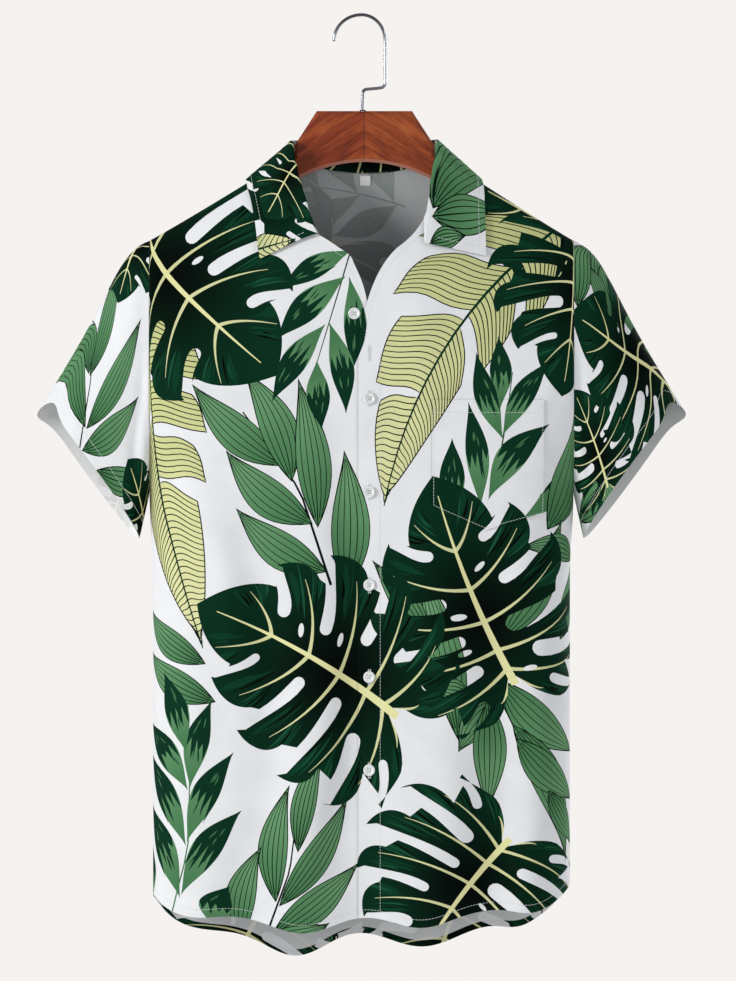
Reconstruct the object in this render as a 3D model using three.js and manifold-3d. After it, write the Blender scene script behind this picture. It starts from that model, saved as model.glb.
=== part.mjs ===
// A short-sleeved shirt with an open collar, hung on a wooden hanger with a wire hook.
// Millimetres, +Z up, the front faces -Y. The origin is the inside of the hook's top, where a rail holds it.
// Right and left are the wearer's: the right side of the shirt lies at -X.

import * as THREE from "three";
import Module from "manifold-3d";
import { mergeVertices } from "three/addons/utils/BufferGeometryUtils.js";

const wasm = await Module();
wasm.setup();

// Cloth
const CLOTH = 1.6; // wall of the body and the sleeves
const SEAM_GAP = 0.3; // between two pieces that are sewn together
const FRONT = -1; // the side of a body point: the fronts
const BACK = 1; // the side of a body point: the back

// Body
const HALF_WIDTH = 209; // at the side seams
const ARMHOLE_OUT = 3.5; // the armhole planes stand this much further out
const ARMHOLE_OUT_POWER = 6; // how near the side that starts
const DEPTH_FRONT = 52; // from the side seams' plane to the front
const DEPTH_BACK = 48; // and to the back
const SIDE_POWER = 7; // how late the panels turn in to the side seams
const RIDGE = 7.5; // radius of the fold over the shoulder
const FILL_DROP = 200; // the body has its whole depth this far under the shoulder
const NECK_X = 4; // middle of the neck
const NECK_HALF = 73; // neck points from the middle
const NECK_Z = -139; // height of the neck points
const SHOULDER_Z = -225; // height of the shoulder tips
const UNDERARM_Z = -480; // where the side seams start
const SIDE_BLEND = 80; // the side seams reach their width this far under the underarm
const ARMHOLE_HALF_DEPTH = 36; // armhole ring, half its size along Y
const ARMHOLE_HALF_HEIGHT = (SHOULDER_Z - UNDERARM_Z) / 2;
const ARMHOLE_Z = (SHOULDER_Z + UNDERARM_Z) / 2;
const ARMHOLE_X = HALF_WIDTH + ARMHOLE_OUT;

// Folds that hang from the waist to the hem, towards the front where depth is positive
const FOLD_TOP_Z = -450;
const FOLDS = [
  { x: -165, spread: 18, depth: 5 },
  { x: -120, spread: 20, depth: -5 },
  { x: -60, spread: 30, depth: 12 },
  { x: 0, spread: 22, depth: -4 },
  { x: 60, spread: 32, depth: 11 },
  { x: 130, spread: 20, depth: -4 },
  { x: 165, spread: 16, depth: 6 },
];

// Hems: a level line with a slope, lobes that hang under it and a rise at the side seams
const HEM_FRONT = { level: -896.5, slope: 0.0215, rise: 22, power: 14 };
const HEM_FRONT_LOBES = [
  { x: -165, spread: 18, drop: 3 },
  { x: -58, spread: 32, drop: 20 },
  { x: 60, spread: 30, drop: 17 },
  { x: 170, spread: 16, drop: 6 },
];
const HEM_BACK = { level: -914, slope: 0.032, rise: 40, power: 10 };
const HEM_BACK_LOBES = [
  { x: -65, spread: 30, drop: 27 },
  { x: 62, spread: 34, drop: 22 },
  { x: 158, spread: 16, drop: 7 },
];

// Front edges from the neck point down the open neck to the button stand
const LEFT_FRONT_EDGE = [
  { x: -3, z: -330 },
  { x: 0.5, z: -307 },
  { x: 6.2, z: -285 },
  { x: 14.2, z: -263.6 },
  { x: 23.5, z: -247 },
  { x: 34.3, z: -234 },
  { x: 43.7, z: -226.5 },
  { x: 54.4, z: -215.5 },
  { x: 63.8, z: -200.7 },
  { x: 69, z: -187 },
  { x: 73, z: -165 },
  { x: 76.4, z: -143 },
  { x: 76.8, z: -140.6 },
  { x: 77, z: -139 },
];
const RIGHT_FRONT_EDGE = [
  { x: -69, z: -139 },
  { x: -68.85, z: -140.6 },
  { x: -68.5, z: -143 },
  { x: -66, z: -160 },
  { x: -58.8, z: -184.6 },
  { x: -50.1, z: -208.7 },
  { x: -44.7, z: -218 },
  { x: -35.3, z: -224 },
  { x: -21.9, z: -233 },
  { x: -11.2, z: -240.5 },
  { x: -7.2, z: -249 },
  { x: 0.8, z: -267.7 },
  { x: 5.5, z: -286 },
  { x: 9, z: -317 },
  { x: 14, z: -355 },
  { x: 21.5, z: -405 },
];
const BACK_NECK = { z: -157, rise: 18, power: 2.5 };
const UNDERLAP = { gap: 0.5, from: -28, to: -8 }; // the right front passes behind the left one

// Rows of the panels, as drops under the shoulder
const RIDGE_DROPS = [0, 1, 3.75, 7.7];
const RING_ANGLES = [40, 60, 80, 100, 120, 140, 160, 170, 180];
const UPPER_ROWS = RIDGE_DROPS.length + RING_ANGLES.length - 1;
const LOWER_ROWS = 8;
const NECK_ROW_POWER = 1.3; // rows crowd to the top of a column under the neck
const SHOULDER_ROW_POWER = 1.15; // and under the shoulder
const SHOULDER_FROM = 0.85; // share of the half neck where the shoulder's rows begin
const RING_FROM = 0.75; // share of the half width where the armhole's rows begin
const SIDE_COLUMNS = 12;
const NECK_SHARES = [0, 0.25, 0.48, 0.67, 0.82, 0.92, 0.97, 0.99, 0.997]; // columns across half the back neck

// Sleeves: a ring at the armhole and an oval ring at the cuff
const CUFF_X = 270.8;
const CUFF_Z = -457;
const CUFF_ALONG = { x: 0.59, z: 0.807 }; // long axis of the cuff, towards its top
const CUFF_OUT = { x: 0.807, z: -0.59 }; // the way that the cuff faces
const CUFF_HALF_LENGTH = 81.8;
const CUFF_HALF_DEPTH = 32;
const CUFF_BOW = 5.5; // the front edge lies further in than the back edge
const CUFF_TWIST = { depth: 9, angle: 0.35 };
const SLEEVE_HEAD = { height: 10, at: 0.18, x: 0.842, z: 0.539, power: 1.5 };
const SLEEVE_SIDES = 24;
const SLEEVE_ROWS = 10;
const SLEEVE_ROW_POWER = 1.2; // rows crowd to the armhole

// Collar: rows round the neck, each with the seam, the fold and the free edge. over is 1 on the front,
// -1 on the back and 0 along the top of the shoulder, and a lift is measured off the body.
const COLLAR_CLOTH = 1.4;
const COLLAR_SEAM_LIFT = 1.1;
const COLLAR_FOLD_REACH = 5;
const COLLAR_STEPS = { stand: 2, fold: 4, fall: 4 };
const COLLAR_COLUMNS = "cuts over seamX seamZ foldX foldZ foldLift edgeX edgeZ edgeLift".split(" ");
const COLLAR_ROWS = [
  [2, 1, -44.7, -218, -44, -219.5, 5, -101.6, -244.6, 2.6],
  [3, 1, -50.1, -208.7, -49.5, -206.5, 6, -103.4, -234, 2.8],
  [3, 1, -58.8, -184.6, -57, -184, 8, -105.8, -212, 3],
  [5, 1, -66, -160, -64.8, -157, 10, -110, -189, 3.5],
  [6, 0, -69.6, -139, -69.6, -139, 15, -115.5, -166, 4],
  [3, -1, -50, -148.5, -52, -132.8, 13, -92, -175, 4],
  [4, -1, -28, -154.7, -28, -126, 12, -55, -169, 4],
  [4, -1, 4, -157, 4, -127, 13, 4, -170, 5],
  [3, -1, 36, -154.7, 36, -126, 12, 63, -169, 4],
  [6, -1, 58, -148.5, 60, -132.8, 13, 100, -176, 4],
  [5, 0, 77, -139, 75.5, -139, 15, 118.7, -166, 4],
  [3, 1, 73, -165, 71.4, -160, 10, 122.5, -177, 3.5],
  [2, 1, 69, -187, 67.5, -186, 8, 123.3, -200, 3],
  [2, 1, 64.5, -199, 65, -209, 6.5, 124, -222, 2.8],
  [0, 1, 62.5, -203, 63.3, -229.5, 5, 124.5, -241.8, 2.6],
].map((row) => Object.fromEntries(COLLAR_COLUMNS.map((name, k) => [name, row[k]])));

// Patch pocket on the left chest
const POCKET = { left: 70.5, right: 181, top: -385, leftBottom: -491.5, rightBottom: -498.7 };
const POCKET_POINT = { x: 123.8, z: -515 };
const POCKET_CLOTH = 1.2;
const POCKET_GAP = 0.4;
const POCKET_ROWS = 9;

// Buttons: the top one is undone and sits on the right front, the others hold the left front
const BUTTON_RADIUS = 6;
const BUTTON_HEIGHT = 2.6;
const BUTTON_SIDES = 16;
const BUTTON_PROFILE = [
  { out: 0, up: 0 },
  { out: 0.5, up: 0 },
  { out: 1, up: 0.45 },
  { out: 1, up: 0.75 },
  { out: 0.86, up: 1 },
  { out: 0.7, up: 0.92 },
  { out: 0, up: 0.8 },
];
const TOP_BUTTON = { x: -7.2, z: -298.5 };
const BUTTON_X = 8;
const BUTTON_ZS = [-383.5, -477, -570, -662, -755];

// Size label inside the back of the neck
const LABEL = { left: -1.6, right: 8.9, top: -158.5, bottom: -168.6, thickness: 1 };

// Hanger: a flat wooden body whose arms carry the shoulders
const HANGER_X = 2.9;
const HANGER_THICKNESS = 8.4;
const HANGER_BEVEL = 3;
const HANGER_CLEARANCE = 2.8; // from the outside of the shoulder down to the wood
const HANGER_TOP = { half: 47.7, z: -95 };
const HANGER_SLANT = { half: 70.4, z: -130 };
const HANGER_ARM = { from: 70.2, to: 199, steps: 10 };
const HANGER_TIP = { half: 196, z: -243 };
const HANGER_CORNER = { half: 67.5, z: -163.5 };
const HANGER_ARCH_Z = -146;
const HANGER_ARCH_STEPS = 8;
const HOLE_RADIUS = 2.15;
const HOLE_DEPTH = 25;
const HOLE_SIDES = 20;

// Hook: one bent wire
const WIRE_RADIUS = 1.6;
const WIRE_SIDES = 8;
const HOOK_LEFT = 27.6; // from the apex to the wire's middle on the open side
const HOOK_RIGHT = 23.7; // and on the stem's side
const HOOK_TIP_Z = -24.3;
const HOOK_RISE = 26;
const HOOK_ELBOW_Z = -71;
const HOOK_BEND = 5;
const HOOK_BEND_POINTS = 4;
const HOOK_ARC_POINTS = 8;
const HOOK_STEP_DOWN = 1; // the run between the bends falls this much twice
const STEM_X = 1.2;
const HOOK_STEPS = 56;

const FABRIC = { color: 0xe9ebe6, roughness: 0.8, metalness: 0 };
const FABRIC_SHADE = { color: 0x3c5c46, roughness: 0.8, metalness: 0 };
const PEARL = { color: 0xf2f2ee, roughness: 0.3, metalness: 0 };
const WOOD = { color: 0x7a3018, roughness: 0.35, metalness: 0 };
const CHROME = { color: 0xb9bcc0, roughness: 0.15, metalness: 1 };

const { lerp } = THREE.MathUtils;
const clamp01 = (t) => Math.min(Math.max(t, 0), 1);
const bell = (u) => Math.exp(-(u * u) / 2);
const range = (count) => Array.from({ length: count }, (_, k) => k);
const point = (x, y, z) => new THREE.Vector3(x, y, z);

function smooth(t) {
  const c = clamp01(t);
  return c * c * (3 - 2 * c);
}

// Monotone cubic through the rows of a table, so that no curve overshoots its rows.
function curve(xs, ys) {
  const slopes = range(xs.length - 1).map((k) => (ys[k + 1] - ys[k]) / (xs[k + 1] - xs[k]));
  const tangents = xs.map((_, k) => {
    if (k === 0) return slopes[0];
    if (k === xs.length - 1) return slopes[k - 1];
    const before = slopes[k - 1];
    const after = slopes[k];
    return before * after > 0 ? (2 * before * after) / (before + after) : 0;
  });
  return (x) => {
    let k = 0;
    while (k < xs.length - 2 && x > xs[k + 1]) k += 1;
    const step = xs[k + 1] - xs[k];
    const t = clamp01((x - xs[k]) / step);
    const rest = 1 - t;
    const start = (1 + 2 * t) * rest * rest * ys[k] + t * rest * rest * step * tangents[k];
    return start + t * t * (3 - 2 * t) * ys[k + 1] - t * t * rest * step * tangents[k + 1];
  };
}

// The shoulder line of both sides, and its run on towards the middle of the neck
const SLOPE_RIGHT = (NECK_Z - SHOULDER_Z) / (HALF_WIDTH + NECK_X - NECK_HALF);
const SLOPE_LEFT = (NECK_Z - SHOULDER_Z) / (HALF_WIDTH - NECK_X - NECK_HALF);
function shoulderZ(x) {
  const slope = lerp(SLOPE_RIGHT, SLOPE_LEFT, smooth((x - NECK_X) / (2 * NECK_HALF) + 0.5));
  const share = Math.abs(x - NECK_X) / NECK_HALF;
  const fall = share > 1 ? share - 1 : (share * share - 1) / 2;
  return NECK_Z - NECK_HALF * fall * slope;
}

const ridgeDepth = (drop) => RIDGE * Math.sqrt(1 - (1 - Math.min(drop / RIDGE, 1)) ** 2);

function fullDepth(side, drop) {
  const depth = side === FRONT ? DEPTH_FRONT : DEPTH_BACK;
  return ridgeDepth(drop) + (depth - RIDGE) * (1 - (1 - Math.min(drop / FILL_DROP, 1)) ** 2);
}

// The armhole ring's part of the depth, from its top to the underarm
function armholeShare(drop, reach) {
  const q = drop / ARMHOLE_HALF_HEIGHT;
  if (q < 1) return Math.sqrt(1 - (1 - q) ** 2);
  if (q > 2) return 0;
  const under = q - 1;
  const soft = (Math.cos(Math.PI * under) + 1) / 2;
  return lerp(soft, Math.sqrt(1 - under * under), (1 - reach) ** 3);
}

function foldDepth(x, z) {
  const sum = FOLDS.reduce((total, fold) => total + fold.depth * bell((x - fold.x) / fold.spread), 0);
  return sum * smooth((FOLD_TOP_Z - z) / (FOLD_TOP_Z - HEM_FRONT.level));
}

const sectionReach = (x) => Math.sqrt(Math.max(1 - Math.abs(x / HALF_WIDTH) ** SIDE_POWER, 0));

// The outside of the body at a place across (x) and a height (z)
function bodyPoint(side, x, z) {
  const drop = Math.max(shoulderZ(x) - z, 0);
  const reach = sectionReach(x);
  const armhole = ARMHOLE_HALF_DEPTH * armholeShare(drop, reach);
  const depth = fullDepth(side, drop) * reach + armhole * (1 - reach);
  const byArmhole = (Math.abs(x) / HALF_WIDTH) ** ARMHOLE_OUT_POWER;
  const out = ARMHOLE_OUT * byArmhole * (1 - smooth((UNDERARM_Z - z) / SIDE_BLEND));
  const y = side * (depth + SEAM_GAP / 2) - foldDepth(x, z) * reach;
  return point(x + Math.sign(x) * out, y, z);
}

const STEP = 0.02; // for slopes

function bodyNormal(side, x, z) {
  const lowX = Math.max(x - STEP, -HALF_WIDTH);
  const highX = Math.min(x + STEP, HALF_WIDTH);
  const across = bodyPoint(side, highX, z).sub(bodyPoint(side, lowX, z));
  const highZ = Math.min(z + STEP, shoulderZ(x));
  const up = bodyPoint(side, x, highZ).sub(bodyPoint(side, x, z - STEP));
  return across.cross(up).multiplyScalar(-side).normalize();
}

// The way from the inside of a wall to its outside. At a seam it stays in the seam's own plane.
function wallNormal(side, x, z) {
  const atShoulder = shoulderZ(x) - z < STEP && Math.abs(x - NECK_X) > NECK_HALF - STEP;
  const atSide = HALF_WIDTH - Math.abs(x) < STEP;
  const out = Math.sign(x);
  if (atSide && Math.abs(z - UNDERARM_Z) < STEP) return point(out, 0, -1).normalize();
  if (atSide && z < UNDERARM_Z) return point(out, 0, 0);
  if (atSide) {
    const angle = Math.acos(THREE.MathUtils.clamp((z - ARMHOLE_Z) / ARMHOLE_HALF_HEIGHT, -1, 1));
    const y = (side * Math.sin(angle)) / ARMHOLE_HALF_DEPTH;
    return point(0, y, Math.cos(angle) / ARMHOLE_HALF_HEIGHT).normalize();
  }
  if (atShoulder) {
    const fall = shoulderZ(x + out) - shoulderZ(x);
    return point(-fall * out, 0, 1).normalize();
  }
  return bodyNormal(side, x, z);
}

function hemZ(hem, lobes, x) {
  const hang = lobes.reduce((total, lobe) => total + lobe.drop * bell((x - lobe.x) / lobe.spread), 0);
  return hem.level + hem.slope * x - hang + hem.rise * Math.abs(x / HALF_WIDTH) ** hem.power;
}

// A closed wall between two grids of points. A wrapped grid closes on itself round its columns.
function closedWall(outer, inner, wrapped) {
  const columns = outer.length;
  const rows = outer[0].length;
  const positions = [...outer.flat(), ...inner.flat()].flatMap((p) => [p.x, p.y, p.z]);
  const outerAt = (i, j) => (i % columns) * rows + j;
  const innerAt = (i, j) => columns * rows + outerAt(i, j);
  const faces = [];
  const quad = (a, b, c, d) => faces.push(a, b, c, a, c, d);
  const spans = wrapped ? columns : columns - 1;
  for (const i of range(spans)) {
    for (const j of range(rows - 1)) {
      quad(outerAt(i, j), outerAt(i, j + 1), outerAt(i + 1, j + 1), outerAt(i + 1, j));
      quad(innerAt(i, j), innerAt(i + 1, j), innerAt(i + 1, j + 1), innerAt(i, j + 1));
    }
    quad(outerAt(i, 0), outerAt(i + 1, 0), innerAt(i + 1, 0), innerAt(i, 0));
    quad(outerAt(i + 1, rows - 1), outerAt(i, rows - 1), innerAt(i, rows - 1), innerAt(i + 1, rows - 1));
  }
  for (const j of wrapped ? [] : range(rows - 1)) {
    quad(outerAt(0, j), innerAt(0, j), innerAt(0, j + 1), outerAt(0, j + 1));
    quad(outerAt(spans, j), outerAt(spans, j + 1), innerAt(spans, j + 1), innerAt(spans, j));
  }
  return facingOut(positions, faces);
}

function facingOut(positions, faces) {
  const at = (k) => point(...positions.slice(3 * faces[k], 3 * faces[k] + 3));
  let volume = 0;
  for (let k = 0; k < faces.length; k += 3) volume += at(k).dot(at(k + 1).cross(at(k + 2)));
  const geometry = new THREE.BufferGeometry();
  geometry.setAttribute("position", new THREE.Float32BufferAttribute(positions, 3));
  geometry.setIndex(volume > 0 ? faces : faces.toReversed());
  geometry.computeVertexNormals();
  return geometry;
}

// Columns at equal steps round the section from a place across to the side seam
function columnsToSide(fromX, count) {
  const toward = Math.sign(fromX);
  const fine = 400;
  const xs = range(fine + 1).map((k) => lerp(Math.abs(fromX), HALF_WIDTH, 1 - (1 - k / fine) ** 2));
  const lengths = [0];
  for (const k of range(fine)) {
    const deep = DEPTH_FRONT * (sectionReach(xs[k + 1]) - sectionReach(xs[k]));
    lengths.push(lengths[k] + Math.hypot(xs[k + 1] - xs[k], deep));
  }
  const place = (share) => {
    const k = lengths.findIndex((length) => length >= share * lengths[fine]);
    return toward * xs[Math.max(k, 0)];
  };
  return range(count).map((k) => place((k + 1) / count));
}

// Heights of one column's rows, from its top edge by the underarm's level to the hem
function columnHeights(x, topZ, bottomZ) {
  const tall = topZ - UNDERARM_Z;
  const last = RIDGE_DROPS.length - 1;
  const low = RIDGE_DROPS[last];
  const side = smooth((Math.abs(x) / HALF_WIDTH - RING_FROM) / (1 - RING_FROM));
  const shoulder = smooth((Math.abs(x - NECK_X) / NECK_HALF - SHOULDER_FROM) / (1 - SHOULDER_FROM));
  const drops = range(UPPER_ROWS + 1).map((k) => {
    const neck = tall * (k / UPPER_ROWS) ** NECK_ROW_POWER;
    if (k <= last) return lerp(neck, RIDGE_DROPS[k], shoulder);
    const even = low + (tall - low) * ((k - last) / (UPPER_ROWS - last)) ** SHOULDER_ROW_POWER;
    const angle = THREE.MathUtils.degToRad(RING_ANGLES[k - last - 1]);
    const ring = (tall * (1 - Math.cos(angle))) / 2;
    return lerp(neck, lerp(even, ring, side), shoulder);
  });
  const upper = drops.map((drop) => topZ - drop);
  const lower = range(LOWER_ROWS).map((k) => lerp(UNDERARM_Z, bottomZ, (k + 1) / LOWER_ROWS));
  return [...upper, ...lower];
}

// One panel of the body. tuck says how far a place across lies inside the body's outside.
function panel(side, xs, topZ, bottomZ, tuck = () => 0) {
  const grid = (inset) =>
    xs.map((x) =>
      columnHeights(x, topZ(x), bottomZ(x)).map((z) =>
        bodyPoint(side, x, z).addScaledVector(wallNormal(side, x, z), -tuck(x) - inset),
      ),
    );
  return closedWall(grid(0), grid(CLOTH), false);
}

const frontHem = (x) => hemZ(HEM_FRONT, HEM_FRONT_LOBES, x);
const backHem = (x) => hemZ(HEM_BACK, HEM_BACK_LOBES, x);
const edgeCurve = (table) => curve(table.map((row) => row.x), table.map((row) => row.z));
const underlapTuck = (x) => {
  const share = smooth((x - UNDERLAP.from) / (UNDERLAP.to - UNDERLAP.from));
  return (CLOTH + UNDERLAP.gap) * share;
};

const leftColumns = [
  ...LEFT_FRONT_EDGE.map((row) => row.x),
  ...columnsToSide(NECK_X + NECK_HALF, SIDE_COLUMNS),
];

function leftFront() {
  const neck = edgeCurve(LEFT_FRONT_EDGE);
  const top = (x) => (x < NECK_X + NECK_HALF ? neck(x) : shoulderZ(x));
  return panel(FRONT, leftColumns, top, frontHem);
}

function rightFront() {
  const neck = edgeCurve(RIGHT_FRONT_EDGE);
  const top = (x) => (x > NECK_X - NECK_HALF ? neck(x) : shoulderZ(x));
  const sideColumns = columnsToSide(NECK_X - NECK_HALF, SIDE_COLUMNS).reverse();
  const xs = [...sideColumns, ...RIGHT_FRONT_EDGE.map((row) => row.x)];
  return panel(FRONT, xs, top, frontHem, underlapTuck);
}

function backNeckZ(x) {
  return BACK_NECK.z + BACK_NECK.rise * (Math.abs(x - NECK_X) / NECK_HALF) ** BACK_NECK.power;
}

function back() {
  const start = NECK_X - NECK_HALF;
  const shares = [-1, ...NECK_SHARES.slice(1).map((share) => -share).reverse(), ...NECK_SHARES, 1];
  const neckColumns = shares.map((share) => NECK_X + share * NECK_HALF);
  const rightColumns = columnsToSide(start, SIDE_COLUMNS).reverse();
  const xs = [...rightColumns, ...neckColumns, ...columnsToSide(NECK_X + NECK_HALF, SIDE_COLUMNS)];
  const top = (x) => (Math.abs(x - NECK_X) < NECK_HALF - STEP ? backNeckZ(x) : shoulderZ(x));
  return panel(BACK, xs, top, backHem);
}

// A place on a sleeve: round it by angle (0 at the top, the front first) and along it from 0 to 1
function sleevePoint(hand, angle, along) {
  const ring = point(
    ARMHOLE_X + SEAM_GAP,
    -ARMHOLE_HALF_DEPTH * Math.sin(angle),
    ARMHOLE_Z + ARMHOLE_HALF_HEIGHT * Math.cos(angle),
  );
  const fromTop = Math.atan2(Math.sin(angle), Math.cos(angle));
  const bump = (u) => Math.exp(-((u / CUFF_TWIST.angle) ** 2));
  const twist = CUFF_TWIST.depth * (bump(fromTop + CUFF_TWIST.angle) - bump(fromTop - CUFF_TWIST.angle));
  const out = -CUFF_BOW * Math.sin(angle) + twist;
  const long = CUFF_HALF_LENGTH * Math.cos(angle);
  const cuff = point(
    CUFF_X + CUFF_ALONG.x * long + CUFF_OUT.x * out,
    -CUFF_HALF_DEPTH * Math.sin(angle),
    CUFF_Z + CUFF_ALONG.z * long + CUFF_OUT.z * out,
  );
  const rise = (along / SLEEVE_HEAD.at) * Math.exp(1 - along / SLEEVE_HEAD.at);
  const head = SLEEVE_HEAD.height * rise * Math.max(Math.cos(angle), 0) ** SLEEVE_HEAD.power;
  const p = ring.lerp(cuff, along).add(point(SLEEVE_HEAD.x * head, 0, SLEEVE_HEAD.z * head));
  return point(hand * p.x, p.y, p.z);
}

function sleeveNormal(hand, angle, along) {
  if (along === 0) {
    const y = -Math.sin(angle) / ARMHOLE_HALF_DEPTH;
    return point(0, y, Math.cos(angle) / ARMHOLE_HALF_HEIGHT).normalize();
  }
  const turn = 0.002; // radians
  const slip = 0.001; // share of the length
  const round = sleevePoint(hand, angle + turn, along).sub(sleevePoint(hand, angle - turn, along));
  const down = sleevePoint(hand, angle, along + slip).sub(sleevePoint(hand, angle, along - slip));
  return round.cross(down).multiplyScalar(hand).normalize();
}

function sleeve(hand) {
  const grid = (inset) =>
    range(SLEEVE_SIDES).map((i) => {
      const angle = (2 * Math.PI * i) / SLEEVE_SIDES;
      return range(SLEEVE_ROWS + 1).map((j) => {
        const along = (j / SLEEVE_ROWS) ** SLEEVE_ROW_POWER;
        return sleevePoint(hand, angle, along).addScaledVector(sleeveNormal(hand, angle, along), -inset);
      });
    });
  return closedWall(grid(0), grid(CLOTH), true);
}

// A drop under the shoulder as a length along the cloth over the ridge, and back
const QUARTER_RIDGE = (RIDGE * Math.PI) / 2;
function ridgeLength(drop) {
  return drop < RIDGE ? RIDGE * Math.acos(1 - drop / RIDGE) : drop - RIDGE + QUARTER_RIDGE;
}
function ridgeDrop(length) {
  const long = Math.abs(length);
  return long < QUARTER_RIDGE ? RIDGE * (1 - Math.cos(long / RIDGE)) : long - QUARTER_RIDGE + RIDGE;
}

// A place over the body: across, along the cloth over the shoulder, and lifted off straight out of it
function overBody(x, length, lift) {
  const side = length > 0 ? FRONT : BACK;
  const z = shoulderZ(x) - ridgeDrop(length);
  const normal = bodyNormal(side, x, Math.min(z, shoulderZ(x) - STEP));
  if (Math.abs(length) < STEP) normal.set(0, 0, 1);
  normal.x = 0;
  return bodyPoint(side, x, z).addScaledVector(normal.normalize(), lift);
}

function bezier(a, b, c, t) {
  return a.clone().multiplyScalar((1 - t) ** 2).addScaledVector(b, 2 * t * (1 - t)).addScaledVector(c, t * t);
}

// One row of the collar's middle surface: up the stand, round the fold and down to the free edge
function collarRow(row) {
  const seam = point(row.seamX, row.seamLength, COLLAR_SEAM_LIFT);
  const fold = point(row.foldX, row.foldLength, row.foldLift);
  const edge = point(row.edgeX, row.edgeLength, row.edgeLift);
  const standShare = Math.min(0.5, COLLAR_FOLD_REACH / seam.distanceTo(fold));
  const fallShare = Math.min(0.5, COLLAR_FOLD_REACH / edge.distanceTo(fold));
  const before = fold.clone().lerp(seam, standShare);
  const after = fold.clone().lerp(edge, fallShare);
  const corner = fold.clone().multiplyScalar(2).addScaledVector(before, -0.5).addScaledVector(after, -0.5);
  const steps = COLLAR_STEPS;
  const stand = range(steps.stand).map((k) => seam.clone().lerp(before, k / steps.stand));
  const bend = range(steps.fold).map((k) => bezier(before, corner, after, k / steps.fold));
  const fall = range(steps.fall + 1).map((k) => after.clone().lerp(edge, k / steps.fall));
  return [...stand, ...bend, ...fall].map((p) => overBody(p.x, p.y, p.z));
}

function collarRows() {
  const lengthOf = (over, x, z) => over * ridgeLength(Math.max(shoulderZ(x) - z, 0));
  const rows = COLLAR_ROWS.map((row) => ({
    seamX: row.seamX,
    seamLength: lengthOf(row.over, row.seamX, row.seamZ),
    foldX: row.foldX,
    foldLength: lengthOf(row.over, row.foldX, row.foldZ),
    foldLift: row.foldLift,
    edgeX: row.edgeX,
    edgeLength: lengthOf(row.over, row.edgeX, row.edgeZ),
    edgeLift: row.edgeLift,
  }));
  const places = [0];
  for (const row of COLLAR_ROWS) places.push(places.at(-1) + row.cuts);
  places.pop();
  const names = Object.keys(rows[0]);
  const curves = names.map((name) => [name, curve(places, rows.map((row) => row[name]))]);
  return range(places.at(-1) + 1).map((k) => Object.fromEntries(curves.map(([name, at]) => [name, at(k)])));
}

// Two grids on both sides of a middle surface
function thickened(middle, half) {
  const last = middle.length - 1;
  const lastRow = middle[0].length - 1;
  const normal = (i, j) => {
    const a = middle[Math.min(i + 1, last)][j].clone().sub(middle[Math.max(i - 1, 0)][j]);
    const b = middle[i][Math.min(j + 1, lastRow)].clone().sub(middle[i][Math.max(j - 1, 0)]);
    return a.cross(b).normalize();
  };
  const moved = (by) =>
    middle.map((line, i) => line.map((p, j) => p.clone().addScaledVector(normal(i, j), by)));
  return closedWall(moved(half), moved(-half), false);
}

const collar = () => thickened(collarRows().map(collarRow), COLLAR_CLOTH / 2);

function pocket() {
  const inside = leftColumns.filter((x) => x > POCKET.left + 1 && x < POCKET.right - 1);
  const xs = [POCKET.left, ...inside, POCKET.right];
  const bottom = (x) => {
    const toRight = x > POCKET_POINT.x;
    const corner = toRight ? POCKET.right : POCKET.left;
    const cornerZ = toRight ? POCKET.rightBottom : POCKET.leftBottom;
    return lerp(POCKET_POINT.z, cornerZ, (x - POCKET_POINT.x) / (corner - POCKET_POINT.x));
  };
  const grid = (lift) =>
    xs.map((x) =>
      range(POCKET_ROWS + 1).map((k) => {
        const z = lerp(POCKET.top, bottom(x), k / POCKET_ROWS);
        return bodyPoint(FRONT, x, z).addScaledVector(bodyNormal(FRONT, x, z), lift);
      }),
    );
  return closedWall(grid(POCKET_GAP + POCKET_CLOTH), grid(POCKET_GAP), false);
}

function sizeLabel() {
  const grid = (inset) =>
    [LABEL.left, LABEL.right].map((x) =>
      [LABEL.top, LABEL.bottom].map((z) =>
        bodyPoint(BACK, x, z).addScaledVector(bodyNormal(BACK, x, z), -inset),
      ),
    );
  const start = CLOTH + SEAM_GAP;
  return closedWall(grid(start), grid(start + LABEL.thickness), false);
}

// A button with a rounded rim and a dished face, turned about its own axis
function buttonGeometry() {
  const profile = BUTTON_PROFILE.map((p) => new THREE.Vector2(p.out * BUTTON_RADIUS, p.up * BUTTON_HEIGHT));
  return new THREE.LatheGeometry(profile, BUTTON_SIDES);
}

function buttonMesh(name, x, z, tuck) {
  const normal = bodyNormal(FRONT, x, z);
  const mesh = meshOf(name, buttonGeometry(), PEARL);
  mesh.position.copy(bodyPoint(FRONT, x, z).addScaledVector(normal, SEAM_GAP - tuck));
  mesh.quaternion.setFromUnitVectors(point(0, 1, 0), normal);
  return mesh;
}

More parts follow.
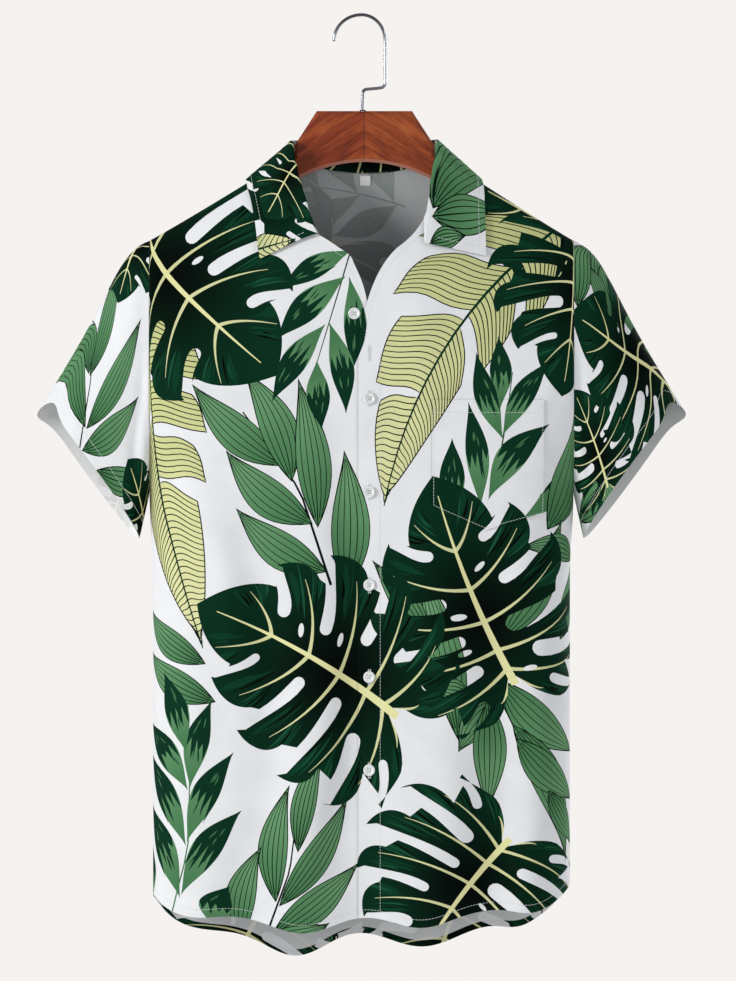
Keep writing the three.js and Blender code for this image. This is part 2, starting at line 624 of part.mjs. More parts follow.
function hangerOutline() {
  const shape = new THREE.Shape();
  const armZ = (x) => shoulderZ(x) - HANGER_CLEARANCE;
  const half = (side) => {
    const at = (out, z) => ({ x: HANGER_X + side * out, z });
    const arm = range(HANGER_ARM.steps + 1).map((k) => {
      const x = HANGER_X + side * lerp(HANGER_ARM.from, HANGER_ARM.to, k / HANGER_ARM.steps);
      return { x, z: armZ(x) };
    });
    const arch = range(HANGER_ARCH_STEPS).map((k) => {
      const share = k / HANGER_ARCH_STEPS;
      const out = HANGER_CORNER.half * (1 - share);
      return at(out, lerp(HANGER_CORNER.z, HANGER_ARCH_Z, 1 - (1 - share) ** 2));
    });
    const top = [at(HANGER_TOP.half, HANGER_TOP.z), at(HANGER_SLANT.half, HANGER_SLANT.z)];
    return [...top, ...arm, at(HANGER_TIP.half, HANGER_TIP.z), ...arch];
  };
  const outline = [...half(1), { x: HANGER_X, z: HANGER_ARCH_Z }, ...half(-1).reverse()];
  shape.setFromPoints(outline.map((p) => new THREE.Vector2(p.x, p.z)));
  return shape;
}

function solidOf(geometry) {
  const bare = new THREE.BufferGeometry();
  bare.setAttribute("position", geometry.getAttribute("position"));
  if (geometry.index) bare.setIndex(geometry.index);
  const merged = mergeVertices(bare, 1e-4);
  const vertProperties = new Float32Array(merged.getAttribute("position").array);
  const triVerts = new Uint32Array(merged.index.array);
  return new wasm.Manifold(new wasm.Mesh({ numProp: 3, vertProperties, triVerts }));
}

function geometryOf(solid) {
  const mesh = solid.getMesh();
  const geometry = new THREE.BufferGeometry();
  geometry.setAttribute("position", new THREE.Float32BufferAttribute(mesh.vertProperties, 3));
  geometry.setIndex([...mesh.triVerts]);
  geometry.computeVertexNormals();
  return geometry;
}

function hangerBody() {
  const board = new THREE.ExtrudeGeometry(hangerOutline(), {
    depth: HANGER_THICKNESS - 2 * HANGER_BEVEL,
    bevelThickness: HANGER_BEVEL,
    bevelSize: HANGER_BEVEL,
    bevelOffset: -HANGER_BEVEL,
    bevelSegments: 1,
  });
  board.rotateX(Math.PI / 2);
  board.translate(0, HANGER_THICKNESS / 2 - HANGER_BEVEL, 0);
  const bore = new THREE.CylinderGeometry(HOLE_RADIUS, HOLE_RADIUS, 2 * HOLE_DEPTH, HOLE_SIDES);
  bore.rotateX(Math.PI / 2);
  bore.translate(STEM_X, 0, HANGER_TOP.z);
  return geometryOf(solidOf(board).subtract(solidOf(bore)));
}

// The wire's middle line, from the tip over the rail and down into the wood
function hookPath() {
  const arc = (half, from, to) =>
    range(HOOK_ARC_POINTS).map((k) => {
      const angle = lerp(from, to, k / HOOK_ARC_POINTS);
      const z = WIRE_RADIUS - HOOK_RISE * (1 - Math.sin(angle));
      return point(half * Math.cos(angle), 0, z);
    });
  const bend = (from, corner, to) =>
    range(HOOK_BEND_POINTS).map((k) => bezier(from, corner, to, k / HOOK_BEND_POINTS));
  const stemBottom = HANGER_TOP.z - HOLE_DEPTH + 1;
  const down = HOOK_ELBOW_Z + HOOK_BEND;
  const low = HOOK_ELBOW_Z - 2 * HOOK_STEP_DOWN;
  return [
    ...arc(HOOK_LEFT, Math.PI, Math.PI / 2),
    ...arc(HOOK_RIGHT, Math.PI / 2, 0),
    point(HOOK_RIGHT, 0, WIRE_RADIUS - HOOK_RISE),
    point(HOOK_RIGHT, 0, (HOOK_TIP_Z + down) / 2),
    ...bend(
      point(HOOK_RIGHT, 0, down),
      point(HOOK_RIGHT, 0, HOOK_ELBOW_Z),
      point(HOOK_RIGHT - HOOK_BEND, 0, HOOK_ELBOW_Z - HOOK_STEP_DOWN),
    ),
    ...bend(
      point(STEM_X + HOOK_BEND, 0, low),
      point(STEM_X, 0, low),
      point(STEM_X, 0, low - HOOK_BEND),
    ),
    point(STEM_X, 0, low - HOOK_BEND),
    point(STEM_X, 0, (HOOK_ELBOW_Z + stemBottom) / 2),
    point(STEM_X, 0, stemBottom),
  ];
}

function hook() {
  const section = new THREE.Shape();
  section.absarc(0, 0, WIRE_RADIUS, 0, 2 * Math.PI);
  const path = new THREE.CatmullRomCurve3(hookPath(), false, "centripetal");
  return new THREE.ExtrudeGeometry(section, {
    steps: HOOK_STEPS,
    curveSegments: WIRE_SIDES / 2,
    extrudePath: path,
  });
}

function meshOf(name, geometry, finish) {
  const mesh = new THREE.Mesh(geometry, new THREE.MeshStandardMaterial(finish));
  mesh.name = name;
  return mesh;
}

const shirt = new THREE.Group();
shirt.add(
  meshOf("front_right", rightFront(), FABRIC),
  meshOf("front_left", leftFront(), FABRIC),
  meshOf("back", back(), FABRIC),
  meshOf("sleeve_right", sleeve(-1), FABRIC),
  meshOf("sleeve_left", sleeve(1), FABRIC),
  meshOf("collar", collar(), FABRIC_SHADE),
  meshOf("pocket", pocket(), FABRIC_SHADE),
  meshOf("size_label", sizeLabel(), PEARL),
  buttonMesh("button_1", TOP_BUTTON.x, TOP_BUTTON.z, underlapTuck(TOP_BUTTON.x)),
  ...BUTTON_ZS.map((z, k) => buttonMesh(`button_${k + 2}`, BUTTON_X, z, 0)),
);

const hanger = new THREE.Group();
hanger.add(meshOf("hanger_body", hangerBody(), WOOD), meshOf("hook", hook(), CHROME));

const whole = new THREE.Group();
whole.add(shirt, hanger);
export default whole;
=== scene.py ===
# The shirt on its hanger, dressed for the render. Lengths are millimetres until a mesh is made.
# Right and left are the wearer's, as in the part: the right side lies at -X.
import math

import bpy
import numpy as np
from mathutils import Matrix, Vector
from mathutils.geometry import delaunay_2d_cdt


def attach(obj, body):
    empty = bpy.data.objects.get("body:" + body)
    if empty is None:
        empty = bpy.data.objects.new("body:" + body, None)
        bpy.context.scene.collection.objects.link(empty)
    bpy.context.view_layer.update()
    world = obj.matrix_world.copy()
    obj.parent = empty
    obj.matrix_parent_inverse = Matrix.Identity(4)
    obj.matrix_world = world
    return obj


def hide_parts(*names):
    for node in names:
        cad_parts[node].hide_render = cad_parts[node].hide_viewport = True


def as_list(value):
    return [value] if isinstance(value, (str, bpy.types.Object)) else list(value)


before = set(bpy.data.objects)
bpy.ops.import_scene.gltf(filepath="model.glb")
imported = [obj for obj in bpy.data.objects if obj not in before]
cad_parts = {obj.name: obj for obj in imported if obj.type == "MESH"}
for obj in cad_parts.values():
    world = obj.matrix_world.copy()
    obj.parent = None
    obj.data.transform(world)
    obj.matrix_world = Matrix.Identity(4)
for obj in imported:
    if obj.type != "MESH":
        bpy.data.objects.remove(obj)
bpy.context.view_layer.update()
MM = 0.001

# The part's own sizes
SEAM_GAP = 0.3
FRONT = -1
BACK = 1
HALF_WIDTH = 209.0
ARMHOLE_OUT = 3.5
ARMHOLE_OUT_POWER = 6
DEPTH = {FRONT: 52.0, BACK: 48.0}
SIDE_POWER = 7
RIDGE = 7.5
FILL_DROP = 200.0
NECK_X = 4.0
NECK_HALF = 73.0
NECK_Z = -139.0
SHOULDER_Z = -225.0
UNDERARM_Z = -480.0
SIDE_BLEND = 80.0
ARMHOLE_HALF_DEPTH = 36.0
ARMHOLE_HALF_HEIGHT = 127.5
ARMHOLE_Z = -352.5
ARMHOLE_X = HALF_WIDTH + ARMHOLE_OUT
FOLD_TOP_Z = -450.0
FOLD_WHOLE_Z = -896.5
FOLDS = [
    (-165, 18, 5),
    (-120, 20, -5),
    (-60, 30, 12),
    (0, 22, -4),
    (60, 32, 11),
    (130, 20, -4),
    (165, 16, 6),
]
HEM = {FRONT: (-896.5, 0.0215, 22, 14), BACK: (-914, 0.032, 40, 10)}
HEM_LOBES = {
    FRONT: [(-165, 18, 3), (-58, 32, 20), (60, 30, 17), (170, 16, 6)],
    BACK: [(-65, 30, 27), (62, 34, 22), (158, 16, 7)],
}
LEFT_FRONT_EDGE = [
    (-3, -330), (0.5, -307), (6.2, -285), (14.2, -263.6), (23.5, -247), (34.3, -234), (43.7, -226.5),
    (54.4, -215.5), (63.8, -200.7), (69, -187), (73, -165), (76.4, -143), (76.8, -140.6), (77, -139),
]
RIGHT_FRONT_EDGE = [
    (-69, -139), (-68.85, -140.6), (-68.5, -143), (-66, -160), (-58.8, -184.6), (-50.1, -208.7),
    (-44.7, -218), (-35.3, -224), (-21.9, -233), (-11.2, -240.5), (-7.2, -249), (0.8, -267.7),
    (5.5, -286), (9, -317), (14, -355), (21.5, -405),
]
BACK_NECK = (-157, 18, 2.5)
UNDERLAP_FROM = -28.0
UNDERLAP_TO = -8.0
UNDERLAP = 2.1


def smooth(t):
    t = np.clip(t, 0.0, 1.0)
    return t * t * (3 - 2 * t)


def bell(u):
    return np.exp(-u * u / 2)


def stack(*columns):
    return np.stack(columns, -1)


def unit(vectors):
    return vectors / (np.linalg.norm(vectors, axis=-1, keepdims=True) + 1e-12)


def to_right(way):
    """At right angles to each direction in the plane, to its right."""
    return stack(way[:, 1], -way[:, 0])


def run_length(points, start=0.0):
    """How far along the path each of its points lies."""
    steps = np.linalg.norm(np.diff(points, axis=0), axis=1)
    return np.concatenate([[start], start + np.cumsum(steps)])


def curve(xs, ys):
    """Monotone cubic through the rows of a table."""
    xs, ys = np.asarray(xs, float), np.asarray(ys, float)
    slopes = np.diff(ys) / np.diff(xs)
    tangents = np.zeros(len(xs))
    tangents[0], tangents[-1] = slopes[0], slopes[-1]
    before, after = slopes[:-1], slopes[1:]
    same = before * after > 0
    total = np.where(same, before + after, 1.0)
    tangents[1:-1] = np.where(same, 2 * before * after / total, 0.0)

    def at(x):
        x = np.asarray(x, float)
        k = np.clip(np.searchsorted(xs, x, side="left") - 1, 0, len(xs) - 2)
        step = xs[k + 1] - xs[k]
        t = np.clip((x - xs[k]) / step, 0, 1)
        rest = 1 - t
        start = (1 + 2 * t) * rest * rest * ys[k] + t * rest * rest * step * tangents[k]
        return start + t * t * (3 - 2 * t) * ys[k + 1] - t * t * rest * step * tangents[k + 1]

    return at


# The body's surface
SLOPE_RIGHT = (NECK_Z - SHOULDER_Z) / (HALF_WIDTH + NECK_X - NECK_HALF)
SLOPE_LEFT = (NECK_Z - SHOULDER_Z) / (HALF_WIDTH - NECK_X - NECK_HALF)


def shoulder_z(x):
    slope = SLOPE_RIGHT + (SLOPE_LEFT - SLOPE_RIGHT) * smooth((x - NECK_X) / (2 * NECK_HALF) + 0.5)
    share = np.abs(x - NECK_X) / NECK_HALF
    fall = np.where(share > 1, share - 1, (share * share - 1) / 2)
    return NECK_Z - NECK_HALF * fall * slope


def hem_z(side, x):
    level, slope, rise, power = HEM[side]
    hang = sum(drop * bell((x - at) / spread) for at, spread, drop in HEM_LOBES[side])
    return level + slope * x - hang + rise * np.abs(x / HALF_WIDTH) ** power


# Soft creases: two ends (x, z), half width and height off the cloth. Negative is a trough.
# They bow a little, fade out past their ends and stay off the side and shoulder seams.
CREASE_BOW = 0.05
CREASE_PAST_END = 0.12
CREASE_END_FADE = 0.35
CREASE_SIDE_FADE = 22.0
CREASE_SHOULDER = (8.0, 40.0)
CREASES = {
    FRONT: [
        (-196, -300, -160, -420, 10, 2.0),
        (-205, -430, -172, -560, 9, -2.4),
        (-190, -470, -120, -600, 16, 2.2),
        (-200, -520, -180, -840, 10, 1.2),
        (-152, -480, -139, -890, 15, 4.4),
        (-108, -540, -99, -900, 13, -4.2),
        (-60, -380, -67, -900, 15, 4.0),
        (-25, -430, -29, -870, 13, -3.6),
        (66, -480, 80, -900, 18, 5.0),
        (120, -530, 131, -900, 14, -4.8),
        (176, -580, 171, -880, 12, 2.8),
        (204, -420, 172, -540, 9, -2.4),
        (196, -480, 130, -600, 15, 2.0),
        (196, -290, 176, -400, 8, 1.6),
        (-110, -230, -160, -300, 14, 1.2),
        (44, -262, 62, -420, 15, 2.6),
        (-74, -250, -92, -420, 14, 2.4),
    ],
    BACK: [
        (-200, -430, -150, -540, 12, -2.6),
        (-186, -500, -176, -860, 12, 2.4),
        (-130, -380, -122, -900, 15, 2.2),
        (-70, -420, -84, -930, 13, -2.6),
        (-20, -330, -16, -900, 16, 2.0),
        (34, -400, 26, -920, 12, -2.2),
        (96, -360, 104, -900, 15, 2.4),
        (200, -430, 150, -560, 12, -2.4),
        (160, -520, 164, -880, 12, 2.2),
        (-120, -250, 20, -238, 14, 1.4),
        (30, -240, 150, -262, 12, 1.2),
    ],
}


def crease_height(side, x, z):
    total = np.zeros(np.broadcast(x, z).shape)
    for x0, z0, x1, z1, spread, height in CREASES[side]:
        long = math.hypot(x1 - x0, z1 - z0)
        ax, az = (x1 - x0) / long, (z1 - z0) / long
        along = (x - x0) * ax + (z - z0) * az
        off = (z - z0) * ax - (x - x0) * az
        bow = CREASE_BOW * long * np.sin(np.pi * np.clip(along / long, 0, 1))
        past, fade = CREASE_PAST_END * long, CREASE_END_FADE * long
        ends = smooth((along + past) / fade) * smooth((long + past - along) / fade)
        total = total + height * bell((off - bow) / spread) * ends
    clear, fade = CREASE_SHOULDER
    by_side = smooth((HALF_WIDTH - np.abs(x)) / CREASE_SIDE_FADE)
    return total * by_side * smooth((shoulder_z(x) - z - clear) / fade)


def body_raw(side, x, z):
    drop = np.maximum(shoulder_z(x) - z, 0)
    reach = np.sqrt(np.maximum(1 - np.abs(x / HALF_WIDTH) ** SIDE_POWER, 0))
    ridge = RIDGE * np.sqrt(1 - (1 - np.minimum(drop / RIDGE, 1)) ** 2)
    full = ridge + (DEPTH[side] - RIDGE) * (1 - (1 - np.minimum(drop / FILL_DROP, 1)) ** 2)
    q = drop / ARMHOLE_HALF_HEIGHT
    under = np.clip(q - 1, 0, 1)
    soft = (np.cos(np.pi * under) + 1) / 2
    low = soft + (np.sqrt(1 - under * under) - soft) * (1 - reach) ** 3
    upper = np.sqrt(np.maximum(1 - (1 - np.minimum(q, 1)) ** 2, 0))
    share = np.where(q < 1, upper, np.where(q > 2, 0.0, low))
    depth = full * reach + ARMHOLE_HALF_DEPTH * share * (1 - reach)
    by_armhole = (np.abs(x) / HALF_WIDTH) ** ARMHOLE_OUT_POWER
    out = ARMHOLE_OUT * by_armhole * (1 - smooth((UNDERARM_Z - z) / SIDE_BLEND))
    fold = sum(deep * bell((x - at) / spread) for at, spread, deep in FOLDS)
    fold = fold * smooth((FOLD_TOP_Z - z) / (FOLD_TOP_Z - FOLD_WHOLE_Z))
    y = side * (depth + SEAM_GAP / 2 + crease_height(side, x, z)) - fold * reach
    return stack(x + np.sign(x) * out, y, np.broadcast_to(z, np.shape(x)))


NORMAL_STEP = 0.4
OFF_SIDE_EDGE = 0.6
OFF_SHOULDER = 0.05


def body_normal(side, x, z):
    x = np.clip(x, -HALF_WIDTH + OFF_SIDE_EDGE, HALF_WIDTH - OFF_SIDE_EDGE)
    sideways = body_raw(side, x + NORMAL_STEP, z) - body_raw(side, x - NORMAL_STEP, z)
    high = np.minimum(z + NORMAL_STEP, shoulder_z(x) - OFF_SHOULDER)
    up = body_raw(side, x, high) - body_raw(side, x, high - 2 * NORMAL_STEP)
    return unit(-side * np.cross(sideways, up))


# Flat cloth of the body: u runs round the section from the middle, v is the height
FINE = 600
ARC_X = HALF_WIDTH * (1 - (1 - np.linspace(0, 1, FINE)) ** 2)
ARC_REACH = np.sqrt(np.maximum(1 - (ARC_X / HALF_WIDTH) ** SIDE_POWER, 0))
ARC_STEPS = np.hypot(np.diff(ARC_X), DEPTH[FRONT] * np.diff(ARC_REACH))
ARC_U = np.concatenate([[0.0], np.cumsum(ARC_STEPS)])


def flat_u(x):
    return np.sign(x) * np.interp(np.abs(x), ARC_X, ARC_U)


def across_x(u):
    return np.sign(u) * np.interp(np.abs(u), ARC_U, ARC_X)


def flat_point(x, z):
    return float(flat_u(x)), float(z)


def underlap_tuck(x):
    return UNDERLAP * smooth((x - UNDERLAP_FROM) / (UNDERLAP_TO - UNDERLAP_FROM))


def body_surface(side, tuck=None, lift=0.0):
    def at(uv):
        x, z = across_x(uv[:, 0]), uv[:, 1]
        points = body_raw(side, x, z)
        normals = body_normal(side, x, z)
        shift = lift - (tuck(x) if tuck else 0.0)
        return points + normals * np.reshape(shift, (-1, 1)), normals

    return at


# Sleeves
CUFF_X = 270.8
CUFF_Z = -457.0
CUFF_ALONG = (0.59, 0.807)
CUFF_OUT = (0.807, -0.59)
CUFF_HALF_LENGTH = 81.8
CUFF_HALF_DEPTH = 32.0
CUFF_BOW = 5.5
CUFF_TWIST_DEPTH = 9.0
CUFF_TWIST_ANGLE = 0.35
SLEEVE_HEAD = (10.0, 0.18, 0.842, 0.539, 1.5)
# Creases from the head out: two ends (angle, share of the length), spread and height
SLEEVE_CREASE_ENDS = (0.12, 0.15, 0.3)
SLEEVE_CREASES = [
    (0.9, 0.05, 1.5, 0.75, 0.16, 2.2),
    (1.5, 0.0, 2.2, 0.6, 0.15, -2.4),
    (2.3, 0.05, 2.2, 0.8, 0.16, 2.0),
    (0.5, 0.3, 0.75, 1.0, 0.14, -1.8),
    (-0.9, 0.05, -1.6, 0.8, 0.16, 2.2),
    (-1.7, 0.0, -2.3, 0.7, 0.15, -2.4),
    (-0.4, 0.3, -0.8, 1.0, 0.15, 1.6),
]


def sleeve_raw(hand, angle, along):
    ring = stack(
        np.full(np.shape(angle), ARMHOLE_X + SEAM_GAP),
        -ARMHOLE_HALF_DEPTH * np.sin(angle),
        ARMHOLE_Z + ARMHOLE_HALF_HEIGHT * np.cos(angle),
    )
    from_top = np.arctan2(np.sin(angle), np.cos(angle))

    def bump(u):
        return np.exp(-((u / CUFF_TWIST_ANGLE) ** 2))

    twist = CUFF_TWIST_DEPTH * (bump(from_top + CUFF_TWIST_ANGLE) - bump(from_top - CUFF_TWIST_ANGLE))
    out = -CUFF_BOW * np.sin(angle) + twist
    long = CUFF_HALF_LENGTH * np.cos(angle)
    cuff = stack(
        CUFF_X + CUFF_ALONG[0] * long + CUFF_OUT[0] * out,
        -CUFF_HALF_DEPTH * np.sin(angle),
        CUFF_Z + CUFF_ALONG[1] * long + CUFF_OUT[1] * out,
    )
    height, at, head_x, head_z, power = SLEEVE_HEAD
    rise = (along / at) * np.exp(1 - along / at)
    head = height * rise * np.maximum(np.cos(angle), 0) ** power
    t = np.reshape(along, np.shape(along) + (1,))
    p = ring * (1 - t) + cuff * t
    p = p + stack(head_x * head, np.zeros_like(head), head_z * head)
    early, late, fade = SLEEVE_CREASE_ENDS
    for a0, t0, a1, t1, spread, deep in SLEEVE_CREASES:
        share = np.clip((along - t0) / (t1 - t0), 0, 1)
        middle = a0 + (a1 - a0) * share
        ends = smooth((along - t0 + early) / fade) * smooth((t1 + late - along) / fade)
        ends = ends * smooth(along / early)
        push = deep * bell((from_top - middle) / spread) * ends
        p[..., 1] += -np.sign(np.sin(angle)) * push
    p[..., 0] *= hand
    return p


def sleeve_normal(hand, angle, along):
    turn, slip = 0.01, 0.004
    low = np.clip(along - slip, 0, 1)
    high = np.clip(along + slip, 0, 1)
    around = sleeve_raw(hand, angle + turn, along) - sleeve_raw(hand, angle - turn, along)
    down = sleeve_raw(hand, angle, high) - sleeve_raw(hand, angle, low)
    return unit(hand * np.cross(around, down))


# Flat cloth of a sleeve: u runs round from the underarm seam, v from the hem up to the cap
SLEEVE_HALF_STEPS = 360
SLEEVE_ANGLES = np.linspace(-math.pi, math.pi, 2 * SLEEVE_HALF_STEPS + 1)
SLEEVE_MEASURED_AT = 0.6
SLEEVE_U = run_length(sleeve_raw(1, SLEEVE_ANGLES, np.full(len(SLEEVE_ANGLES), SLEEVE_MEASURED_AT)))
SLEEVE_U -= SLEEVE_U[-1] / 2
HALF_SLEEVE = SLEEVE_U[-1]
SLEEVE_ALONG = np.linspace(0, 1, 41)
SLEEVE_GRID = sleeve_raw(1, *np.meshgrid(SLEEVE_ANGLES, SLEEVE_ALONG, indexing="ij"))
SLEEVE_LENGTH = np.linalg.norm(np.diff(SLEEVE_GRID, axis=1), axis=2).sum(axis=1)


def sleeve_surface(hand):
    def at(uv):
        angle = np.interp(uv[:, 0], SLEEVE_U, SLEEVE_ANGLES)
        long = np.interp(uv[:, 0], SLEEVE_U, SLEEVE_LENGTH)
        along = np.clip(1 - uv[:, 1] / long, 0, 1)
        return sleeve_raw(hand, angle, along), sleeve_normal(hand, angle, along)

    return at


# Collar
COLLAR_SEAM_LIFT = 1.1
COLLAR_FOLD_REACH = 5.0
COLLAR_ROWS = np.array([
    [2, 1, -44.7, -218, -44, -219.5, 5, -101.6, -244.6, 2.6],
    [3, 1, -50.1, -208.7, -49.5, -206.5, 6, -103.4, -234, 2.8],
    [3, 1, -58.8, -184.6, -57, -184, 8, -105.8, -212, 3],
    [5, 1, -66, -160, -64.8, -157, 10, -110, -189, 3.5],
    [6, 0, -69.6, -139, -69.6, -139, 15, -115.5, -166, 4],
    [3, -1, -50, -148.5, -52, -132.8, 13, -92, -175, 4],
    [4, -1, -28, -154.7, -28, -126, 12, -55, -169, 4],
    [4, -1, 4, -157, 4, -127, 13, 4, -170, 5],
    [3, -1, 36, -154.7, 36, -126, 12, 63, -169, 4],
    [6, -1, 58, -148.5, 60, -132.8, 13, 100, -176, 4],
    [5, 0, 77, -139, 75.5, -139, 15, 118.7, -166, 4],
    [3, 1, 73, -165, 71.4, -160, 10, 122.5, -177, 3.5],
    [2, 1, 69, -187, 67.5, -186, 8, 123.3, -200, 3],
    [2, 1, 64.5, -199, 65, -209, 6.5, 124, -222, 2.8],
    [0, 1, 62.5, -203, 63.3, -229.5, 5, 124.5, -241.8, 2.6],
])
QUARTER_RIDGE = RIDGE * math.pi / 2


def ridge_length(drop):
    round_it = RIDGE * np.arccos(np.clip(1 - drop / RIDGE, -1, 1))
    return np.where(drop < RIDGE, round_it, drop - RIDGE + QUARTER_RIDGE)


def ridge_drop(length):
    long = np.abs(length)
    return np.where(
        long < QUARTER_RIDGE, RIDGE * (1 - np.cos(long / RIDGE)), long - QUARTER_RIDGE + RIDGE
    )


COLLAR_PLACES = np.concatenate([[0], np.cumsum(COLLAR_ROWS[:-1, 0])])
COLLAR_END = COLLAR_PLACES[-1]


def collar_lengths(column):
    xs, zs = COLLAR_ROWS[:, column], COLLAR_ROWS[:, column + 1]
    return COLLAR_ROWS[:, 1] * ridge_length(np.maximum(shoulder_z(xs) - zs, 0))


COLLAR_CURVES = [
    curve(COLLAR_PLACES, values)
    for values in (
        COLLAR_ROWS[:, 2], collar_lengths(2),
        COLLAR_ROWS[:, 4], collar_lengths(4), COLLAR_ROWS[:, 6],
        COLLAR_ROWS[:, 7], collar_lengths(7), COLLAR_ROWS[:, 9],
    )
]
STAND_SHARE = 0.26
BEND_SHARE = 0.36


def over_body(x, length, lift):
    side = np.where(length > 0, FRONT, BACK)
    z = shoulder_z(x) - ridge_drop(length)
    points = np.where((side == FRONT)[:, None], body_raw(FRONT, x, z), body_raw(BACK, x, z))
    low = np.minimum(z, shoulder_z(x) - 0.02)
    normal = np.where((side == FRONT)[:, None], body_normal(FRONT, x, low), body_normal(BACK, x, low))
    flat_top = np.abs(length) < 0.05
    normal = np.where(flat_top[:, None], np.array([0.0, 0.0, 1.0]), normal)
    normal[:, 0] = 0
    return points + unit(normal) * lift[:, None]


def collar_middle(place, t):
    sx, sl, fx, fl, fh, ex, el, eh = (at(place) for at in COLLAR_CURVES)
    seam = stack(sx, sl, np.full(len(sx), COLLAR_SEAM_LIFT))
    fold = stack(fx, fl, fh)
    edge = stack(ex, el, eh)
    stand_share = np.minimum(0.5, COLLAR_FOLD_REACH / np.linalg.norm(seam - fold, axis=1))[:, None]
    fall_share = np.minimum(0.5, COLLAR_FOLD_REACH / np.linalg.norm(edge - fold, axis=1))[:, None]
    before = fold + (seam - fold) * stand_share
    after = fold + (edge - fold) * fall_share
    corner = 2 * fold - (before + after) / 2
    t = t[:, None]
    a = np.clip(t / STAND_SHARE, 0, 1)
    b = np.clip((t - STAND_SHARE) / (BEND_SHARE - STAND_SHARE), 0, 1)
    c = np.clip((t - BEND_SHARE) / (1 - BEND_SHARE), 0, 1)
    stand = seam + (before - seam) * a
    bend = before * (1 - b) ** 2 + corner * 2 * b * (1 - b) + after * b * b
    fall = after + (edge - after) * c
    p = np.where(t < STAND_SHARE, stand, np.where(t < BEND_SHARE, bend, fall))
    return over_body(p[:, 0], p[:, 1], p[:, 2])


COLLAR_FLAT_LENGTH = 400.0
COLLAR_FLAT_WIDTH = 78.0
COLLAR_PROUD = 0.7
COLLAR_STEPS = (0.06, 0.012)


def collar_surface(uv):
    place = (uv[:, 0] / COLLAR_FLAT_LENGTH + 0.5) * COLLAR_END
    t = 1 - uv[:, 1] / COLLAR_FLAT_WIDTH

    def at(place, t):
        return collar_middle(np.clip(place, 0, COLLAR_END), np.clip(t, 0, 1))

    turn, slip = COLLAR_STEPS
    around = at(place + turn, t) - at(place - turn, t)
    down = at(place, t + slip) - at(place, t - slip)
    normal = unit(np.cross(around, down))
    return at(place, t) + normal * COLLAR_PROUD, normal


# Print: shapes in the flat cloth, painted in order over the ground. Its wrong side tends to a grey, the
# print muted and darkened with painted shade.
GROUND = (0.76, 0.765, 0.768)
FADED_AND_SHADED = (0.35, 0.36, 0.36)


def srgb(text):
    values = [int(text[k:k + 2], 16) / 255 for k in (0, 2, 4)]
    return tuple(v / 12.92 if v < 0.04045 else ((v + 0.055) / 1.055) ** 2.4 for v in values)


DEEP_DARK = srgb("000402")
DEEP = srgb("042c1b")
DEEP_MIDDLE = srgb("083822")
DEEP_LIGHT = srgb("174c34")
VEIN = srgb("e0dda2")
VEIN_SOFT = srgb("cfcf9a")
BANANA = srgb("d7d8a0")
BANANA_DARK = srgb("c0c486")
LEAF = srgb("44744b")
LEAF_LIGHT = srgb("6b9a6d")
LEAF_DARK = srgb("07301f")
LINE = srgb("06140d")


class Shape:
    """Loops filled with paint. One with a host is only painted where its host shows."""

    def __init__(self, loops, colour, start=None, end=None, colour_end=None, host=None):
        self.host = host
        self.loops = [np.asarray(loop, float) for loop in loops]
        self.colour = np.array(colour, float)
        self.start, self.end = start, end
        self.colour_end = None if colour_end is None else np.array(colour_end, float)
        self.reach = None

    def ring_around(self, middle, reach, colour_end):
        """Shades from the middle out to the reach instead of from end to end."""
        self.start, self.reach = middle, reach
        self.colour_end = np.array(colour_end, float)

    def paint(self, points):
        if self.reach is not None:
            t = smooth(np.linalg.norm(points - self.start, axis=1) / self.reach)[:, None]
            return self.colour * (1 - t) + self.colour_end * t
        if self.colour_end is None:
            return np.broadcast_to(self.colour, (len(points), 3))
        way = self.end - self.start
        t = smooth((points - self.start) @ way / (way @ way))[:, None]
        return self.colour * (1 - t) + self.colour_end * t


class Leaf:
    """A frame for one leaf: across and along in shares of its length, bent by bow."""

    def __init__(self, base, tip, bow=0.0):
        self.base = np.asarray(base, float)
        self.tip = np.asarray(tip, float)
        self.long = np.linalg.norm(self.tip - self.base)
        self.way = (self.tip - self.base) / self.long
        self.side = np.array([self.way[1], -self.way[0]])
        self.bow = bow

    def at(self, across, along):
        across, along = np.broadcast_arrays(np.asarray(across, float), np.asarray(along, float))
        bent = across + self.bow * 4 * along * (1 - along)
        return self.base + self.long * (along[..., None] * self.way + bent[..., None] * self.side)

    def line(self, points, start, end):
        """A tapered line through points in leaf shares, with widths in mm at both ends."""
        points = np.asarray(points, float)
        off = to_right(unit(np.gradient(points, axis=0)))
        half = np.linspace(start, end, len(points))[:, None] / 2 / self.long
        return self.at(*np.concatenate([points + off * half, (points - off * half)[::-1]]).T)

    def outline(self, ring, wide, colour):
        """A line round a closed ring, as the band between two loops."""
        ring = np.asarray(ring, float)
        off = to_right(unit(np.roll(ring, -1, axis=0) - np.roll(ring, 1, axis=0))) * wide / 2 / self.long
        loops = [self.at(*(ring + off).T), self.at(*(ring - off).T)]
        return Shape(loops, colour)

    def shape(self, ring, colour, colour_end=None):
        return Shape([self.at(*np.asarray(ring, float).T)], colour, self.base, self.tip, colour_end)

    def rib(self, points, start, end, colour=None, host=None):
        return Shape([self.line(points, start, end)], LINE if colour is None else colour, host=host)

    def midrib(self, start, end, colour=None, first=0.0, last=1.0, count=14):
        along = np.linspace(first, last, count)
        return self.rib(stack(0 * along, along), start, end, colour)

    def streak(self, path, widths, colour, host=None):
        """A stroke whose width in mm is given at each of its points."""
        off = to_right(unit(np.gradient(path, axis=0))) * (np.asarray(widths) / 2 / self.long)[:, None]
        return Shape([self.at(*np.concatenate([path + off, (path - off)[::-1]]).T)], colour, host=host)


